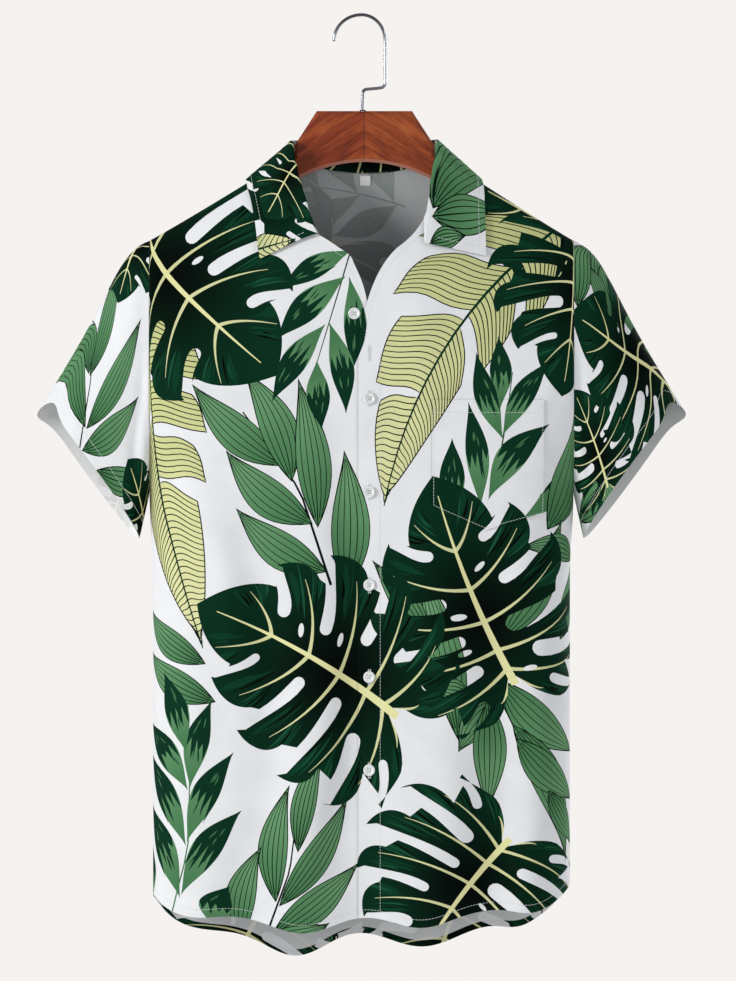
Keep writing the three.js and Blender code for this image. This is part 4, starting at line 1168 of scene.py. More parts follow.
BODY_PRINT = []
for made in (
    stem(front, [(331, 585), (300, 490), (243, 412)], 2.8),
    leaves(front, [
        (284, 466, 193, 384, 36, -0.06), (292, 482, 243, 370, 36, 0.08),
        (313, 524, 226, 450, 37, -0.08), (318, 528, 298, 378, 34, 0.03), (327, 572, 236, 508, 36, -0.08),
        (346, 592, 344, 450, 38, 0.04),
    ]),
    stem(front, [(356, 232), (336, 300), (316, 366)], 1.6, LEAF_DARK),
    brushes(front, [
        (352, 250, 280, 290, 27, 0.04), (346, 276, 276, 340, 33, 0.04), (349, 276, 352, 372, 27, -0.05),
        (326, 324, 272, 402, 30, 0.05), (329, 322, 346, 414, 28, -0.05), (317, 360, 322, 430, 28, 0.02),
    ], 20),
    banana(front(116, 300), front(203, 648), [
        (-1, 66, 68, [(0.02, 0.2), (0.23, 0.35), (0.38, 0.5), (0.52, 0.99)]),
        (1, 46, 33, [(0.02, 0.3), (0.33, 0.99)]),
    ], 0.03, 2),
    leaves(front, [(206, 664, 140, 608, 28, -0.06), (216, 702, 136, 650, 30, -0.06)]),
    monstera(front(596, 250), front(480, 186), 0.95, 0.0, 17, 0),
    banana(front(560, 222), front(384, 506), [
        (1, 84, 66, [(0.02, 0.16), (0.2, 0.37), (0.41, 0.66), (0.675, 0.99)]),
        (-1, 56, 42, [(0.02, 0.17), (0.2, 0.39), (0.43, 0.99)]),
    ], 0.1, 1),
    stem(front, [(497, 470), (506, 420), (512, 372)], 1.6, LEAF_DARK),
    brushes(front, [
        (500, 408, 498, 336, 26, 0.02), (503, 440, 476, 352, 27, -0.04), (502, 436, 548, 360, 27, -0.05),
        (480, 508, 468, 402, 27, 0.03), (488, 500, 548, 424, 34, -0.1),
        (452, 520, 452, 438, 30, 0.0), (520, 520, 580, 446, 30, 0.06),
    ], 40),
    leaves(front, [
        (546, 530, 584, 408, 48, 0.08), (500, 640, 560, 520, 38, 0.05), (585, 560, 520, 548, 26, 0.1),
        (458, 740, 416, 560, 34, 0.04), (560, 640, 600, 560, 30, 0.04), (430, 640, 372, 560, 26, 0.02),
    ]),
    stem(front, [(496, 690), (530, 760), (580, 860)], 2.4),
    leaves(front, [
        (498, 700, 458, 752, 30, 0.06), (500, 680, 572, 752, 38, 0.1), (488, 700, 487, 812, 33, -0.02),
        (512, 724, 566, 862, 36, -0.08), (516, 738, 590, 800, 34, 0.08), (548, 790, 584, 846, 26, 0.04),
        (470, 694, 432, 688, 22, 0.04),
    ]),
    stem(front, [(270, 925), (290, 870), (300, 790)], 2.2),
    leaves(front, [
        (276, 902, 290, 784, 29, -0.08), (298, 852, 323, 746, 24, -0.05), (279, 906, 348, 796, 28, 0.05),
        (272, 934, 359, 862, 31, 0.05), (240, 940, 262, 846, 30, -0.1), (262, 940, 330, 922, 26, 0.1),
    ]),
    stem(front, [(168, 930), (188, 850), (190, 770), (188, 700)], 1.7, LEAF),
    brushes(front, [
        (180, 898, 148, 802, 34, 0.06), (181, 895, 242, 810, 34, -0.06), (186, 846, 152, 752, 32, 0.06),
        (187, 842, 234, 752, 32, -0.06), (188, 790, 150, 722, 32, 0.07), (190, 788, 212, 700, 30, -0.05),
        (186, 752, 164, 672, 32, 0.03), (218, 930, 230, 886, 40, -0.2), (150, 905, 128, 840, 32, 0.05),
    ], 60),
    monstera(front(146, 232), front(272, 372), 1.28, 0.02, 3, 1),
    monstera(front(510, 674), front(434, 482), 1.03, -0.03, 7, 4),
    monstera(front(388, 709), front(203, 606), 1.04, 0.04, 5, 2),
    monstera(front(600, 240), front(560, 392), 1.25, -0.02, 15, 2),
    monstera(front(503, 846), front(402, 992), 1.24, 0.04, 9, 1),
):
    BODY_PRINT += made


SLEEVE_BANANA = [(1, 46, 60, [(0.0, 0.4), (0.45, 0.985)]), (-1, 40, 40, [(0.0, 0.985)])]
RIGHT_PRINT = (
    stem(right_sleeve, [(79, 448), (92, 380), (90, 320)], 2.0)
    + leaves(right_sleeve, [
        (90, 376, 112, 272, 27, 0.05),
        (85, 430, 140, 318, 30, 0.07), (80, 452, 138, 396, 32, 0.1), (96, 470, 150, 470, 26, 0.1),
    ])
    + leaves(right_sleeve, [(90, 374, 77, 326, 30, 0.0), (85, 428, 62, 356, 34, 0.0)], 1.7)
    + monstera(right_sleeve(148, 232), right_sleeve(118, 300), 1.4, 0.0, 21, 1)
    + monstera(right_sleeve(160, 560), right_sleeve(128, 462), 1.2, 0.02, 22, 1)
    + leaflet((-40, 150), (-110, 60), 34, 0.05)
    + leaflet((-30, 110), (-60, 10), 34, -0.05)
    + banana((-215, 60), (-90, 40), SLEEVE_BANANA)
    + monstera((-165, 5), (-150, 90), 1.1, 0.0, 23, 2)
)
LEFT_PRINT = (
    leaves(left_sleeve, [
        (600, 300, 596, 250, 24, 0.02), (622, 330, 604, 262, 26, 0.04), (650, 350, 616, 276, 26, 0.04),
        (612, 330, 584, 262, 24, -0.04), (668, 380, 640, 318, 24, 0.04), (578, 306, 590, 240, 26, 0.02),
        (580, 520, 640, 470, 34, 0.05),
        (640, 520, 600, 470, 30, 0.05), (570, 500, 590, 560, 30, 0.05), (600, 560, 650, 520, 34, 0.05),
    ])
    + monstera(left_sleeve(672, 384), left_sleeve(572, 316), 1.3, 0.03, 31, 3)
    + monstera(left_sleeve(606, 482), left_sleeve(572, 392), 1.3, -0.03, 32, 2)
    + leaflet((-40, 150), (-110, 60), 34, 0.05)
    + leaflet((-30, 110), (-70, 10), 34, -0.05)
    + banana((-215, 70), (-100, 20), SLEEVE_BANANA)
    + monstera((-100, 170), (-40, 120), 1.1, 0.0, 33, 2)
)
FALL_TOP, FALL_LOW = collar_place(300, 168), collar_place(266, 216)
PALE_TIP = collar_place(296, 238)
PALE_BASE = PALE_TIP + (collar_place(262, 247) - PALE_TIP) * 1.6
LEFT_FALL = [
    FALL_LOW - (FALL_TOP - FALL_LOW) * 0.1, FALL_TOP + (FALL_TOP - FALL_LOW) * 0.6,
    FALL_TOP + (FALL_TOP - FALL_LOW) * 0.3, FALL_LOW,
]
COLLAR_PRINT = (
    leaves(collar_place, [
        (430, 208, 458, 150, 30, 0.03), (431, 210, 484, 168, 40, 0.03), (430, 216, 484, 212, 30, 0.0),
    ], 1.45)
    + leaves(collar_place, [(414, 250, 466, 236, 17, 0.05)])
    + monstera(LEFT_FALL[0], LEFT_FALL[1], 2.3, 0.0, 44, 0)[:1]
    + monstera(LEFT_FALL[2], LEFT_FALL[3], 2.0, 0.0, 41, 0)
    + banana(PALE_BASE, PALE_TIP, [(1, 17, 66, [(0.0, 0.98)]), (-1, 19, 50, [(0.0, 0.98)])])
    + leaves(lambda u, v: np.array([u, v], float), [
        (-60, 60, -70, 5, 22, 0.05), (-20, 8, -50, 60, 22, 0.05), (20, 10, 24, 66, 24, 0.05),
        (90, 70, 60, 12, 24, 0),
    ])
    + monstera((-58, 60), (60, 70), 0.8, 0.0, 42, 0)
    + monstera((52, 62), (-64, 74), 0.8, 0.0, 43, 0)
)
BACK_PRINT = []
for made in (
    banana(behind(120, -190), behind(10, -470), [
        (-1, 80, 60, [(0.0, 0.2), (0.24, 0.45), (0.49, 0.7), (0.72, 0.985)]),
        (1, 56, 34, [(0.02, 0.3), (0.34, 0.985)]),
    ], 0.04),
    banana(behind(-206, -520), behind(-130, -800), [
        (1, 60, 60, [(0.0, 0.2), (0.24, 0.5), (0.53, 0.985)]),
        (-1, 50, 34, [(0.02, 0.3), (0.34, 0.985)]),
    ], 0.04),
    frond(behind(40, -560), behind(-60, -360), 3, 118, 36, 0.05, 34, 0.2, 2.6),
    frond(behind(180, -560), behind(176, -330), 3, 104, 34, 0.05, 34, 0.12, 2.4, leaflet, 4),
    frond(behind(-30, -960), behind(-50, -740), 3, 112, 35, 0.05, 32, 0.15, 2.4, leaflet, 5),
    frond(behind(180, -960), behind(170, -760), 4, 84, 30, 0.03, 30, 0.1, 1.7, brushed, 6),
    frond(behind(-160, -150), behind(-196, -480), 5, 84, 30, 0.03, 30, 0.1, 1.7, brushed, 7),
    frond(behind(-170, -970), behind(-186, -800), 3, 84, 30, 0.03, 30, 0.1, 1.7, brushed, 8),
    frond(behind(44, -190), behind(-50, -170), 3, 84, 30, 0.03, 40, 0.1, 1.7, brushed, 9),
    monstera(behind(-30, -230), behind(-150, -380), 1.1, 0.03, 51, 2),
    monstera(behind(214, -300), behind(130, -470), 1.05, 0.03, 52, 2),
    monstera(behind(-10, -540), behind(-180, -650), 1.05, -0.03, 53, 3),
    monstera(behind(60, -740), behind(190, -600), 1.05, 0.03, 54, 2),
    monstera(behind(30, -800), behind(-110, -900), 1.1, 0.03, 55, 1),
    monstera(behind(110, -860), behind(60, -1010), 1.1, 0.03, 56, 1),
    monstera(behind(-96, -890), behind(-150, -1010), 1.2, 0.03, 57, 0),
):
    BACK_PRINT += made

# Pieces of cloth
pieces = {}


def dress(name, obj, *nodes):
    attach(obj, "root")
    if nodes:
        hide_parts(*nodes)
    pieces[name] = obj
    return obj


WALL = 1.1
BODY_STEP = 7.0
SLEEVE_STEP = 6.0
LEFT_SURFACE = body_surface(FRONT)
RIGHT_SURFACE = body_surface(FRONT, underlap_tuck)
BACK_SURFACE = body_surface(BACK)
POCKET_SURFACE = body_surface(FRONT, lift=1.3)
LABEL_SURFACE = body_surface(BACK, lift=-2.0)
PALER_FROM, PALER_OVER, PALER = -560, 300, 0.5


def painted_light_near_hem(points):
    """Painted light: the back's wrong side is painted paler near the hem, where light comes in."""
    return np.array(FADED_AND_SHADED) + PALER * smooth((PALER_FROM - points[..., 1:]) / PALER_OVER)


# Inside tones per piece: the right sleeve's inside is painted pale with painted light, the left sleeve's a
# mid grey of painted shade.
RIGHT_INSIDE_LIT = {"fade_and_painted_light_to": (0.82, 0.83, 0.81), "fade_and_light_share": 0.84}
LEFT_INSIDE_SHADED = {"fade_and_painted_light_to": (0.56, 0.58, 0.56)}
BACK_INSIDE = {"turned": TURNED, "fade_and_painted_light_to": painted_light_near_hem}
PLAIN_INSIDE = {"fade_and_light_share": 0.0}
for name, outline, shapes, surface, step, thickness, options in (
    ("Front_left", LEFT_OUTLINE, BODY_PRINT, LEFT_SURFACE, BODY_STEP, WALL, {}),
    ("Front_right", RIGHT_OUTLINE, BODY_PRINT, RIGHT_SURFACE, BODY_STEP, WALL, {}),
    ("Back", BACK_OUTLINE, BACK_PRINT, BACK_SURFACE, BODY_STEP, WALL, BACK_INSIDE),
    ("Sleeve_right", SLEEVE_OUTLINE, RIGHT_PRINT, sleeve_surface(-1), SLEEVE_STEP, WALL, RIGHT_INSIDE_LIT),
    ("Sleeve_left", SLEEVE_OUTLINE, LEFT_PRINT, sleeve_surface(1), SLEEVE_STEP, WALL, LEFT_INSIDE_SHADED),
    ("Collar", COLLAR_OUTLINE, COLLAR_PRINT, collar_surface, 4.5, 1.4, PLAIN_INSIDE),
    ("Pocket", POCKET_OUTLINE, BODY_PRINT, POCKET_SURFACE, BODY_STEP, 0.9, {}),
    ("Size_label", LABEL_OUTLINE, [], LABEL_SURFACE, 2.5, 0.6, PLAIN_INSIDE),
):
    dress(name, cloth_mesh(name, outline, shapes, surface, step, thickness, **options), name.lower())


def mesh_object(name, verts, faces, smooth_faces=True):
    mesh = bpy.data.meshes.new(name)
    mesh.from_pydata((np.asarray(verts) * MM).tolist(), [], [tuple(int(k) for k in f) for f in faces])
    mesh.polygons.foreach_set("use_smooth", [smooth_faces] * len(mesh.polygons))
    mesh.update()
    return linked(name, mesh)


# Sewing: short raised stitches along lines of the flat cloth
STITCH = 2.3
STITCH_STEP = 3.3
FIRST_STITCH = 0.6
THREAD_WIDE = 0.55
THREAD_HIGH = 0.32
THREAD_SUNK = 0.15
THREAD_TOP = 0.5
BOX_FACES = np.array([
    (0, 1, 3, 2), (4, 6, 7, 5), (0, 4, 5, 1), (2, 3, 7, 6), (0, 2, 6, 4), (1, 5, 7, 3),
])


def boxes(name, corners, host):
    """One mesh of boxes, given by eight corners each."""
    faces = np.concatenate([BOX_FACES + 8 * k for k in range(len(corners))])
    dress(name, mesh_object(name, np.reshape(corners, (-1, 3)), faces, False)).parent = host


def stitches(name, host, *rows):
    """rows: a path in the flat cloth, its surface and, to sew on the inside, -1."""
    corners = []
    for path, surface, *inward in rows:
        path = np.asarray(path, float)
        lengths = run_length(path)
        starts = np.arange(FIRST_STITCH, lengths[-1] - STITCH, STITCH_STEP)
        (a, na), (b, nb) = (
            surface(stack(*(np.interp(starts + shift, lengths, path[:, k]) for k in range(2))))
            for shift in (0.0, STITCH)
        )
        n = unit((na + nb) * (inward[0] if inward else 1))
        off = np.cross(unit(b - a), n) * THREAD_WIDE / 2
        low, high = -n * THREAD_SUNK, n * THREAD_HIGH * THREAD_TOP
        corners.append(np.stack([
            end + off * wide * hand + lift
            for end in (a, b)
            for wide, lift in ((1, low), (THREAD_TOP, high))
            for hand in (-1, 1)
        ], 1))
    boxes(name, np.concatenate(corners), host)


def beside(table, away, first=0, last=None):
    """A path that runs beside a neck edge, to its outside where away is positive."""
    xs = np.linspace(table[0][0], table[-1][0], 300)
    edge = stack(xs, curve(*zip(*table))(xs))[first:last]
    return edge - to_right(unit(np.gradient(edge, axis=0))) * away


PLACKET_X = 18.7
HEM_UP = 8.0
NECK_IN = -5.5
CUFF_UP = 14.0
COLLAR_IN = 6.0
COLLAR_UP = 44
FINE_STEP = 3.0
POCKET_SEWN = [(72.1, -386), (72.1, -490.4), (123.8, -513), (179.4, -497.4), (179.4, -386)]
POCKET_TOP = [(72.1, -397.5), (179.4, -397.5)]
LABEL_SEWN = [(-1.0, -159.4), (8.3, -159.4)]
COLLAR_SEWN = [
    (-HALF_COLLAR + COLLAR_IN, COLLAR_UP), (-HALF_COLLAR + COLLAR_IN, COLLAR_IN),
    (HALF_COLLAR - COLLAR_IN, COLLAR_IN), (HALF_COLLAR - COLLAR_IN, COLLAR_UP),
]
CUFF_SEWN = [(-HALF_SLEEVE + 1, CUFF_UP), (HALF_SLEEVE - 1, CUFF_UP)]
stitches(
    "Stitches_left_front", pieces["Front_left"],
    ([(PLACKET_X, -338), (PLACKET_X, hem_z(FRONT, PLACKET_X) + HEM_UP)], LEFT_SURFACE),
    (hem_edge(FRONT, LEFT_X + 1.5, HALF_WIDTH - 1, HEM_UP), LEFT_SURFACE),
    (beside(LEFT_FRONT_EDGE, NECK_IN, 0, 250), LEFT_SURFACE),
)
stitches(
    "Stitches_right_front", pieces["Front_right"],
    (hem_edge(FRONT, -HALF_WIDTH + 1, RIGHT_X - 2, HEM_UP), RIGHT_SURFACE),
    (beside(RIGHT_FRONT_EDGE, NECK_IN, 70, 250), RIGHT_SURFACE),
)
stitches(
    "Stitches_back", pieces["Back"], (hem_edge(BACK, -HALF_WIDTH + 1, HALF_WIDTH - 1, HEM_UP), BACK_SURFACE)
)
stitches(
    "Stitches_pocket", pieces["Pocket"],
    *(([flat_point(x, z) for x, z in line], POCKET_SURFACE) for line in (POCKET_SEWN, POCKET_TOP)),
)
stitches("Stitches_collar", pieces["Collar"], (along_edge(COLLAR_SEWN, FINE_STEP), collar_surface))
for hand, name in ((-1, "Sleeve_right"), (1, "Sleeve_left")):
    row = (along_edge(CUFF_SEWN, FINE_STEP), sleeve_surface(hand))
    stitches("Stitches_" + name.lower(), pieces[name], row)
stitches("Stitches_label", pieces["Size_label"], (LABEL_SEWN, body_surface(BACK, lift=-2.6), -1))

# Buttons: a rimmed disc with four holes and crossed thread, turned to the cloth under it. The holes are dark
# discs of painted shade on its top.
BUTTON_PROFILE = [
    (0.0, 1.55), (2.4, 1.5), (3.5, 1.62), (4.0, 2.05), (4.5, 2.42), (5.1, 2.5), (5.6, 2.3), (5.9, 1.9),
    (6.0, 1.4), (5.9, 0.9), (5.4, 0.45), (4.4, 0.2), (0.0, 0.15),
]
BUTTON_LIFT = 0.15
BUTTON_X = 8.0
BUTTON_ZS = (-383.5, -477, -570, -662, -755)
TOP_BUTTON = (-7.2, -298.5)
HOLE_AT = 1.25
HOLE_RADIUS = 0.72
HOLE_PROFILE = [(0.0, 1.56), (HOLE_RADIUS * 0.8, 1.58), (HOLE_RADIUS, 1.5)]
HOLE_LIFT = 0.02
STRAND_Z = 1.6
STRAND_APART = 0.22
STRAND_WIDE = 0.4
STRAND_HIGH = 0.35


def ring_quads(rows, sides):
    """The quads between the rows of a round mesh."""
    for j in range(rows - 1):
        for k in range(sides):
            m = (k + 1) % sides
            yield j * sides + k, j * sides + m, (j + 1) * sides + m, (j + 1) * sides + k


def lathe(profile, sides):
    turns = [2 * math.pi * k / sides for k in range(sides)]
    verts = [(r * math.cos(turn), r * math.sin(turn), h) for r, h in profile for turn in turns]
    return np.array(verts, float), [(a, d, c, b) for a, b, c, d in ring_quads(len(profile), sides)]


def box_between(a, b, wide, high):
    off = np.cross(unit(b - a), (0, 0, 1.0)) * wide / 2
    up = np.array([0, 0, high])
    return np.array([end + off * hand + up * top for end in (a, b) for top in (0, 1) for hand in (-1, 1)])


def button(number, x, z, surface):
    points, normals = surface(np.array([flat_point(x, z)]))
    centre, normal = points[0] + normals[0] * BUTTON_LIFT, normals[0]
    side = unit(np.cross(normal, (0.0, 0.0, 1.0)))
    turn = np.array([side, np.cross(side, normal), normal])
    verts, faces = lathe(BUTTON_PROFILE, 40)
    name = f"Button_{number}"
    disc = dress(name, mesh_object(name, centre + verts @ turn, faces), name.lower())
    ring, rows = lathe(HOLE_PROFILE, 12)
    verts = [ring + (sx * HOLE_AT, sy * HOLE_AT, HOLE_LIFT) for sx in (-1, 1) for sy in (-1, 1)]
    faces = [tuple(corner + k * len(ring) for corner in row) for k in range(4) for row in rows]
    verts = centre + np.concatenate(verts) @ turn
    holes = dress(name + "_holes", mesh_object(name + "_holes", verts, faces))
    holes.parent = disc
    strands = []
    for slant in (1, -1):
        for shift in (-STRAND_APART, STRAND_APART):
            start = np.array([-HOLE_AT + shift, -HOLE_AT * slant, STRAND_Z])
            end = np.array([HOLE_AT + shift, HOLE_AT * slant, STRAND_Z])
            strands.append(centre + box_between(start, end, STRAND_WIDE, STRAND_HIGH) @ turn)
    boxes(name + "_thread", strands, disc)
    return disc, holes


BUTTONS = [button(1, *TOP_BUTTON, RIGHT_SURFACE)]
BUTTONS += [button(k + 2, BUTTON_X, z, LEFT_SURFACE) for k, z in enumerate(BUTTON_ZS)]

# Buttonholes: two rails of close stitches along a slot
TOP_BUTTONHOLE = -338.0
RAIL_STITCHES = 22
RAIL_STEP = 0.74
RAIL_LOW = 8.0
RAIL_FROM_TO = (0.35, 1.5)
RAIL_HALF = 0.28
RAIL_DEPTHS = (-0.1, 0.3)
rails = []
for z in (TOP_BUTTONHOLE, *BUTTON_ZS):
    for k in range(RAIL_STITCHES):
        for hand in (-1, 1):
            low = z - RAIL_LOW + k * RAIL_STEP
            points, normals = LEFT_SURFACE(np.array([[BUTTON_X + hand * out, low] for out in RAIL_FROM_TO]))
            rails.append([
                p + (0.0, 0.0, up) + depth * normals[0]
                for p in points for depth in RAIL_DEPTHS for up in (-RAIL_HALF, RAIL_HALF)
            ])
boxes("Buttonholes", rails, pieces["Front_left"])


# Hook: one round wire along the part's own path
WIRE = 1.6
HOOK_LEFT, HOOK_RIGHT, HOOK_RISE = 27.6, 23.7, 26.0
ELBOW_Z, BEND, STEM_X = -71.0, 5.0, 1.2
STEM_TOP = -95.0
STEM_BOTTOM = STEM_TOP - 24.0
WIRE_TIP = 0.6
HOOK_SIDE_FROM = -24.3


def hook_points():
    points = []
    for half, start, end in ((HOOK_LEFT, math.pi, math.pi / 2), (HOOK_RIGHT, math.pi / 2, 0)):
        for k in range(8):
            angle = start + (end - start) * k / 8
            points.append((half * math.cos(angle), WIRE - HOOK_RISE * (1 - math.sin(angle))))
    down, low = ELBOW_Z + BEND, ELBOW_Z - 2
    points += [(HOOK_RIGHT, WIRE - HOOK_RISE), (HOOK_RIGHT, (HOOK_SIDE_FROM + down) / 2)]
    for bend in (
        ((HOOK_RIGHT, down), (HOOK_RIGHT, ELBOW_Z), (HOOK_RIGHT - BEND, ELBOW_Z - 1)),
        ((STEM_X + BEND, low), (STEM_X, low), (STEM_X, low - BEND)),
    ):
        points += bezier(*bend, 5)[:-1].tolist()
    points += [(STEM_X, low - BEND), (STEM_X, (ELBOW_Z + STEM_BOTTOM) / 2), (STEM_X, STEM_BOTTOM)]
    return np.array(points)


def spline(points, steps):
    """Centripetal Catmull-Rom through the points."""
    ends = [2 * points[0] - points[1], *points, 2 * points[-1] - points[-2]]
    out = []
    for p0, p1, p2, p3 in zip(ends, ends[1:], ends[2:], ends[3:]):
        t0 = 0.0
        t1 = t0 + np.linalg.norm(p1 - p0) ** 0.5
        t2 = t1 + np.linalg.norm(p2 - p1) ** 0.5
        t3 = t2 + np.linalg.norm(p3 - p2) ** 0.5
        for t in np.linspace(t1, t2, steps, endpoint=False):
            a1 = p0 * (t1 - t) / (t1 - t0) + p1 * (t - t0) / (t1 - t0)
            a2 = p1 * (t2 - t) / (t2 - t1) + p2 * (t - t1) / (t2 - t1)
            a3 = p2 * (t3 - t) / (t3 - t2) + p3 * (t - t2) / (t3 - t2)
            b1 = a1 * (t2 - t) / (t2 - t0) + a2 * (t - t0) / (t2 - t0)
            b2 = a2 * (t3 - t) / (t3 - t1) + a3 * (t - t1) / (t3 - t1)
            out.append(b1 * (t2 - t) / (t2 - t1) + b2 * (t - t1) / (t2 - t1))
    out.append(points[-1])
    return np.array(out)


def wire(name, path, radius, sides=14):
    way = unit(np.gradient(path, axis=0))
    verts = []
    for p, n in zip(path, -to_right(way)):
        for k in range(sides):
            angle = 2 * math.pi * k / sides
            x, z = p + n * radius * math.cos(angle)
            verts.append((x, radius * math.sin(angle), z))
    x, z = path[0] - way[0] * radius * WIRE_TIP
    faces = list(ring_quads(len(path), sides))
    faces += [(len(verts), (k + 1) % sides, k) for k in range(sides)]
    faces.append(tuple(len(verts) - sides + k for k in range(sides)))
    return mesh_object(name, [*verts, (x, 0.0, z)], faces)


FERRULE_PROFILE = [(1.65, 1.4), (2.6, 1.3), (3.0, 0.7), (3.0, 0.1), (2.0, 0.05)]
hook = dress("Hook", wire("Hook", spline(hook_points(), 5), WIRE), "hook")
verts, faces = lathe(FERRULE_PROFILE, 24)
ferrule = dress("Ferrule", mesh_object("Ferrule", verts + (STEM_X, 0, STEM_TOP), faces))


# Materials
def rgba(colour):
    return (*colour, 1.0)


class Look:
    """A material, with its nodes made and linked one by one."""

    def __init__(self, name, **sockets):
        self.mat = bpy.data.materials.new(name)
        self.mat.use_nodes = True
        self.nodes, self.links = self.mat.node_tree.nodes, self.mat.node_tree.links
        self.shader = self.nodes["Principled BSDF"]
        for key, value in sockets.items():
            self.shader.inputs[key.replace("_", " ")].default_value = value

    def feed(self, socket, value):
        if hasattr(value, "is_linked"):
            self.links.new(value, socket)
        else:
            socket.default_value = value

    def colour(self, value):
        self.links.new(value, self.shader.inputs["Base Color"])

    def place(self):
        return self.nodes.new("ShaderNodeTexCoord").outputs["Object"]

    def noise(self, vector, scale, detail=3.0, distortion=0.0):
        node = self.nodes.new("ShaderNodeTexNoise")
        values = {"Vector": vector, "Scale": scale, "Detail": detail, "Distortion": distortion}
        for key, value in values.items():
            self.feed(node.inputs[key], value)
        return node.outputs["Fac"]

    def math(self, operation, *values):
        node = self.nodes.new("ShaderNodeMath")
        node.operation = operation
        for socket, value in zip(node.inputs, values):
            self.feed(socket, value)
        return node.outputs[0]

    def apart(self, vector):
        node = self.nodes.new("ShaderNodeSeparateXYZ")
        self.links.new(vector, node.inputs[0])
        return node.outputs

    def mix(self, factor, a, b, blend="MIX"):
        node = self.nodes.new("ShaderNodeMix")
        node.data_type = "RGBA"
        node.blend_type = blend
        for name, value in (("Factor", factor), ("A", a), ("B", b)):
            fitting = (s for s in node.inputs if s.name == name and (s.type == "RGBA" or name == "Factor"))
            self.feed(next(fitting), value)
        return next(s for s in node.outputs if s.type == "RGBA")

    def ramp(self, factor, *stops):
        node = self.nodes.new("ShaderNodeValToRGB")
        self.links.new(factor, node.inputs["Fac"])
        elements = node.color_ramp.elements
        while len(elements) < len(stops):
            elements.new(0.5)
        for element, (place, colour) in zip(elements, stops):
            element.position = place
            element.color = rgba(colour)
        return node.outputs["Color"]

    def bump(self, height, strength, distance):
        node = self.nodes.new("ShaderNodeBump")
        node.inputs["Strength"].default_value = strength
        node.inputs["Distance"].default_value = distance
        self.links.new(height, node.inputs["Height"])
        self.links.new(node.outputs["Normal"], self.shader.inputs["Normal"])

    def weave(self, vector, scale):
        """Crossed threads, one over and one under."""
        heights = []
        for direction in ("X", "Y"):
            node = self.nodes.new("ShaderNodeTexWave")
            node.bands_direction = direction
            node.inputs["Scale"].default_value = scale
            node.inputs["Distortion"].default_value = 0.3
            self.links.new(vector, node.inputs["Vector"])
            heights.append(node.outputs["Fac"])
        return self.math("MULTIPLY", *heights)


def cloth_look(name, colour=None):
    """Woven cloth in one colour, or else as painted."""
    look = Look(name, Roughness=0.78, Specular_IOR_Level=0.05)
    uv = look.nodes.new("ShaderNodeUVMap")
    uv.uv_map = "Weave"
    weave = look.weave(uv.outputs["UV"], 22.0)
    soft = look.noise(uv.outputs["UV"], 3.0, 4.0)
    shade = look.ramp(soft, (0.3, (0.93, 0.93, 0.935)), (0.7, (1.0, 1.0, 1.0)))
    if colour is None:
        paint = look.nodes.new("ShaderNodeVertexColor")
        paint.layer_name = "paint"
        base = paint.outputs["Color"]
    else:
        base = rgba(colour)
    look.colour(look.mix(1.0, base, shade, "MULTIPLY"))
    look.bump(weave, 0.25, 0.0002)
    return look.mat


def speckled(name, noise, *stops, **sockets):
    """A clouded surface: scale, detail and distortion of its noise, and the colours it runs through."""
    look = Look(name, **sockets)
    look.colour(look.ramp(look.noise(look.place(), *noise), *stops))
    return look.mat


def give(obj, mat):
    obj.data.materials.append(mat)


PRINTED = cloth_look("Printed_cloth")
TAPE = cloth_look("Label_tape", (0.85, 0.85, 0.84))
for name in ("Front_left", "Front_right", "Back", "Sleeve_right", "Sleeve_left", "Collar", "Pocket"):
    give(pieces[name], PRINTED)
give(pieces["Size_label"], TAPE)
THREAD = speckled(
    "Thread", (900.0, 2.0), (0.35, (0.56, 0.59, 0.57)), (0.65, (0.7, 0.72, 0.71)),
    Roughness=0.7, Specular_IOR_Level=0.15,
)
for name, obj in pieces.items():
    if name.startswith("Stitches") or name == "Buttonholes" or name.endswith("_thread"):
        give(obj, THREAD)
PEARL = speckled(
    "Pearl", (160.0, 3.0, 1.5),
    (0.3, (0.6, 0.61, 0.6)), (0.55, (0.74, 0.75, 0.74)), (0.75, (0.82, 0.82, 0.8)),
    Roughness=0.28, Specular_IOR_Level=0.5, Coat_Weight=0.4, Coat_Roughness=0.12,
)
# Painted shade: the button holes are dark discs in this colour; the same dark also colours the ferrule ring
# at the hook's foot.
HOLE_SHADE_AND_FERRULE = speckled("Hole", (400.0, 2.0), (0.3, (0.05, 0.052, 0.05)), (0.7, (0.1, 0.1, 0.1)), Roughness=0.8)
for disc, holes in BUTTONS:
    give(disc, PEARL)
    give(holes, HOLE_SHADE_AND_FERRULE)

# Varnished wood: two boards with mirrored grain and a joint in the middle, paler on its slanted edges
HANGER_X = 2.9
GRAIN_TURN = math.radians(33)
GRAIN_SIZE = (1 / 16, 1 / 30, 1 / 130)
JOINT_HALF = 0.0003
SLANTED = 0.3
wood = Look("Varnished_wood", Roughness=0.42, Specular_IOR_Level=0.25, Coat_Weight=0.06, Coat_Roughness=0.15)
parts = wood.apart(wood.place())
off = wood.math("SUBTRACT", parts["X"], HANGER_X * MM)
away = wood.math("ABSOLUTE", off)
folded = wood.nodes.new("ShaderNodeCombineXYZ")
for socket, value in zip(folded.inputs, (away, parts["Y"], parts["Z"])):
    wood.feed(socket, value)
turned = wood.nodes.new("ShaderNodeMapping")
turned.vector_type = "TEXTURE"
turned.inputs["Rotation"].default_value = (0, GRAIN_TURN, 0)
turned.inputs["Scale"].default_value = GRAIN_SIZE
wood.feed(turned.inputs["Vector"], folded.outputs[0])
grain = wood.noise(turned.outputs[0], 1.0, 6.0, 0.8)
pores = wood.noise(turned.outputs[0], 6.0, 4.0, 0.3)
RIGHT_BOARD = ((0.28, (0.13, 0.017, 0.004)), (0.5, (0.25, 0.04, 0.009)), (0.74, (0.38, 0.085, 0.018)))
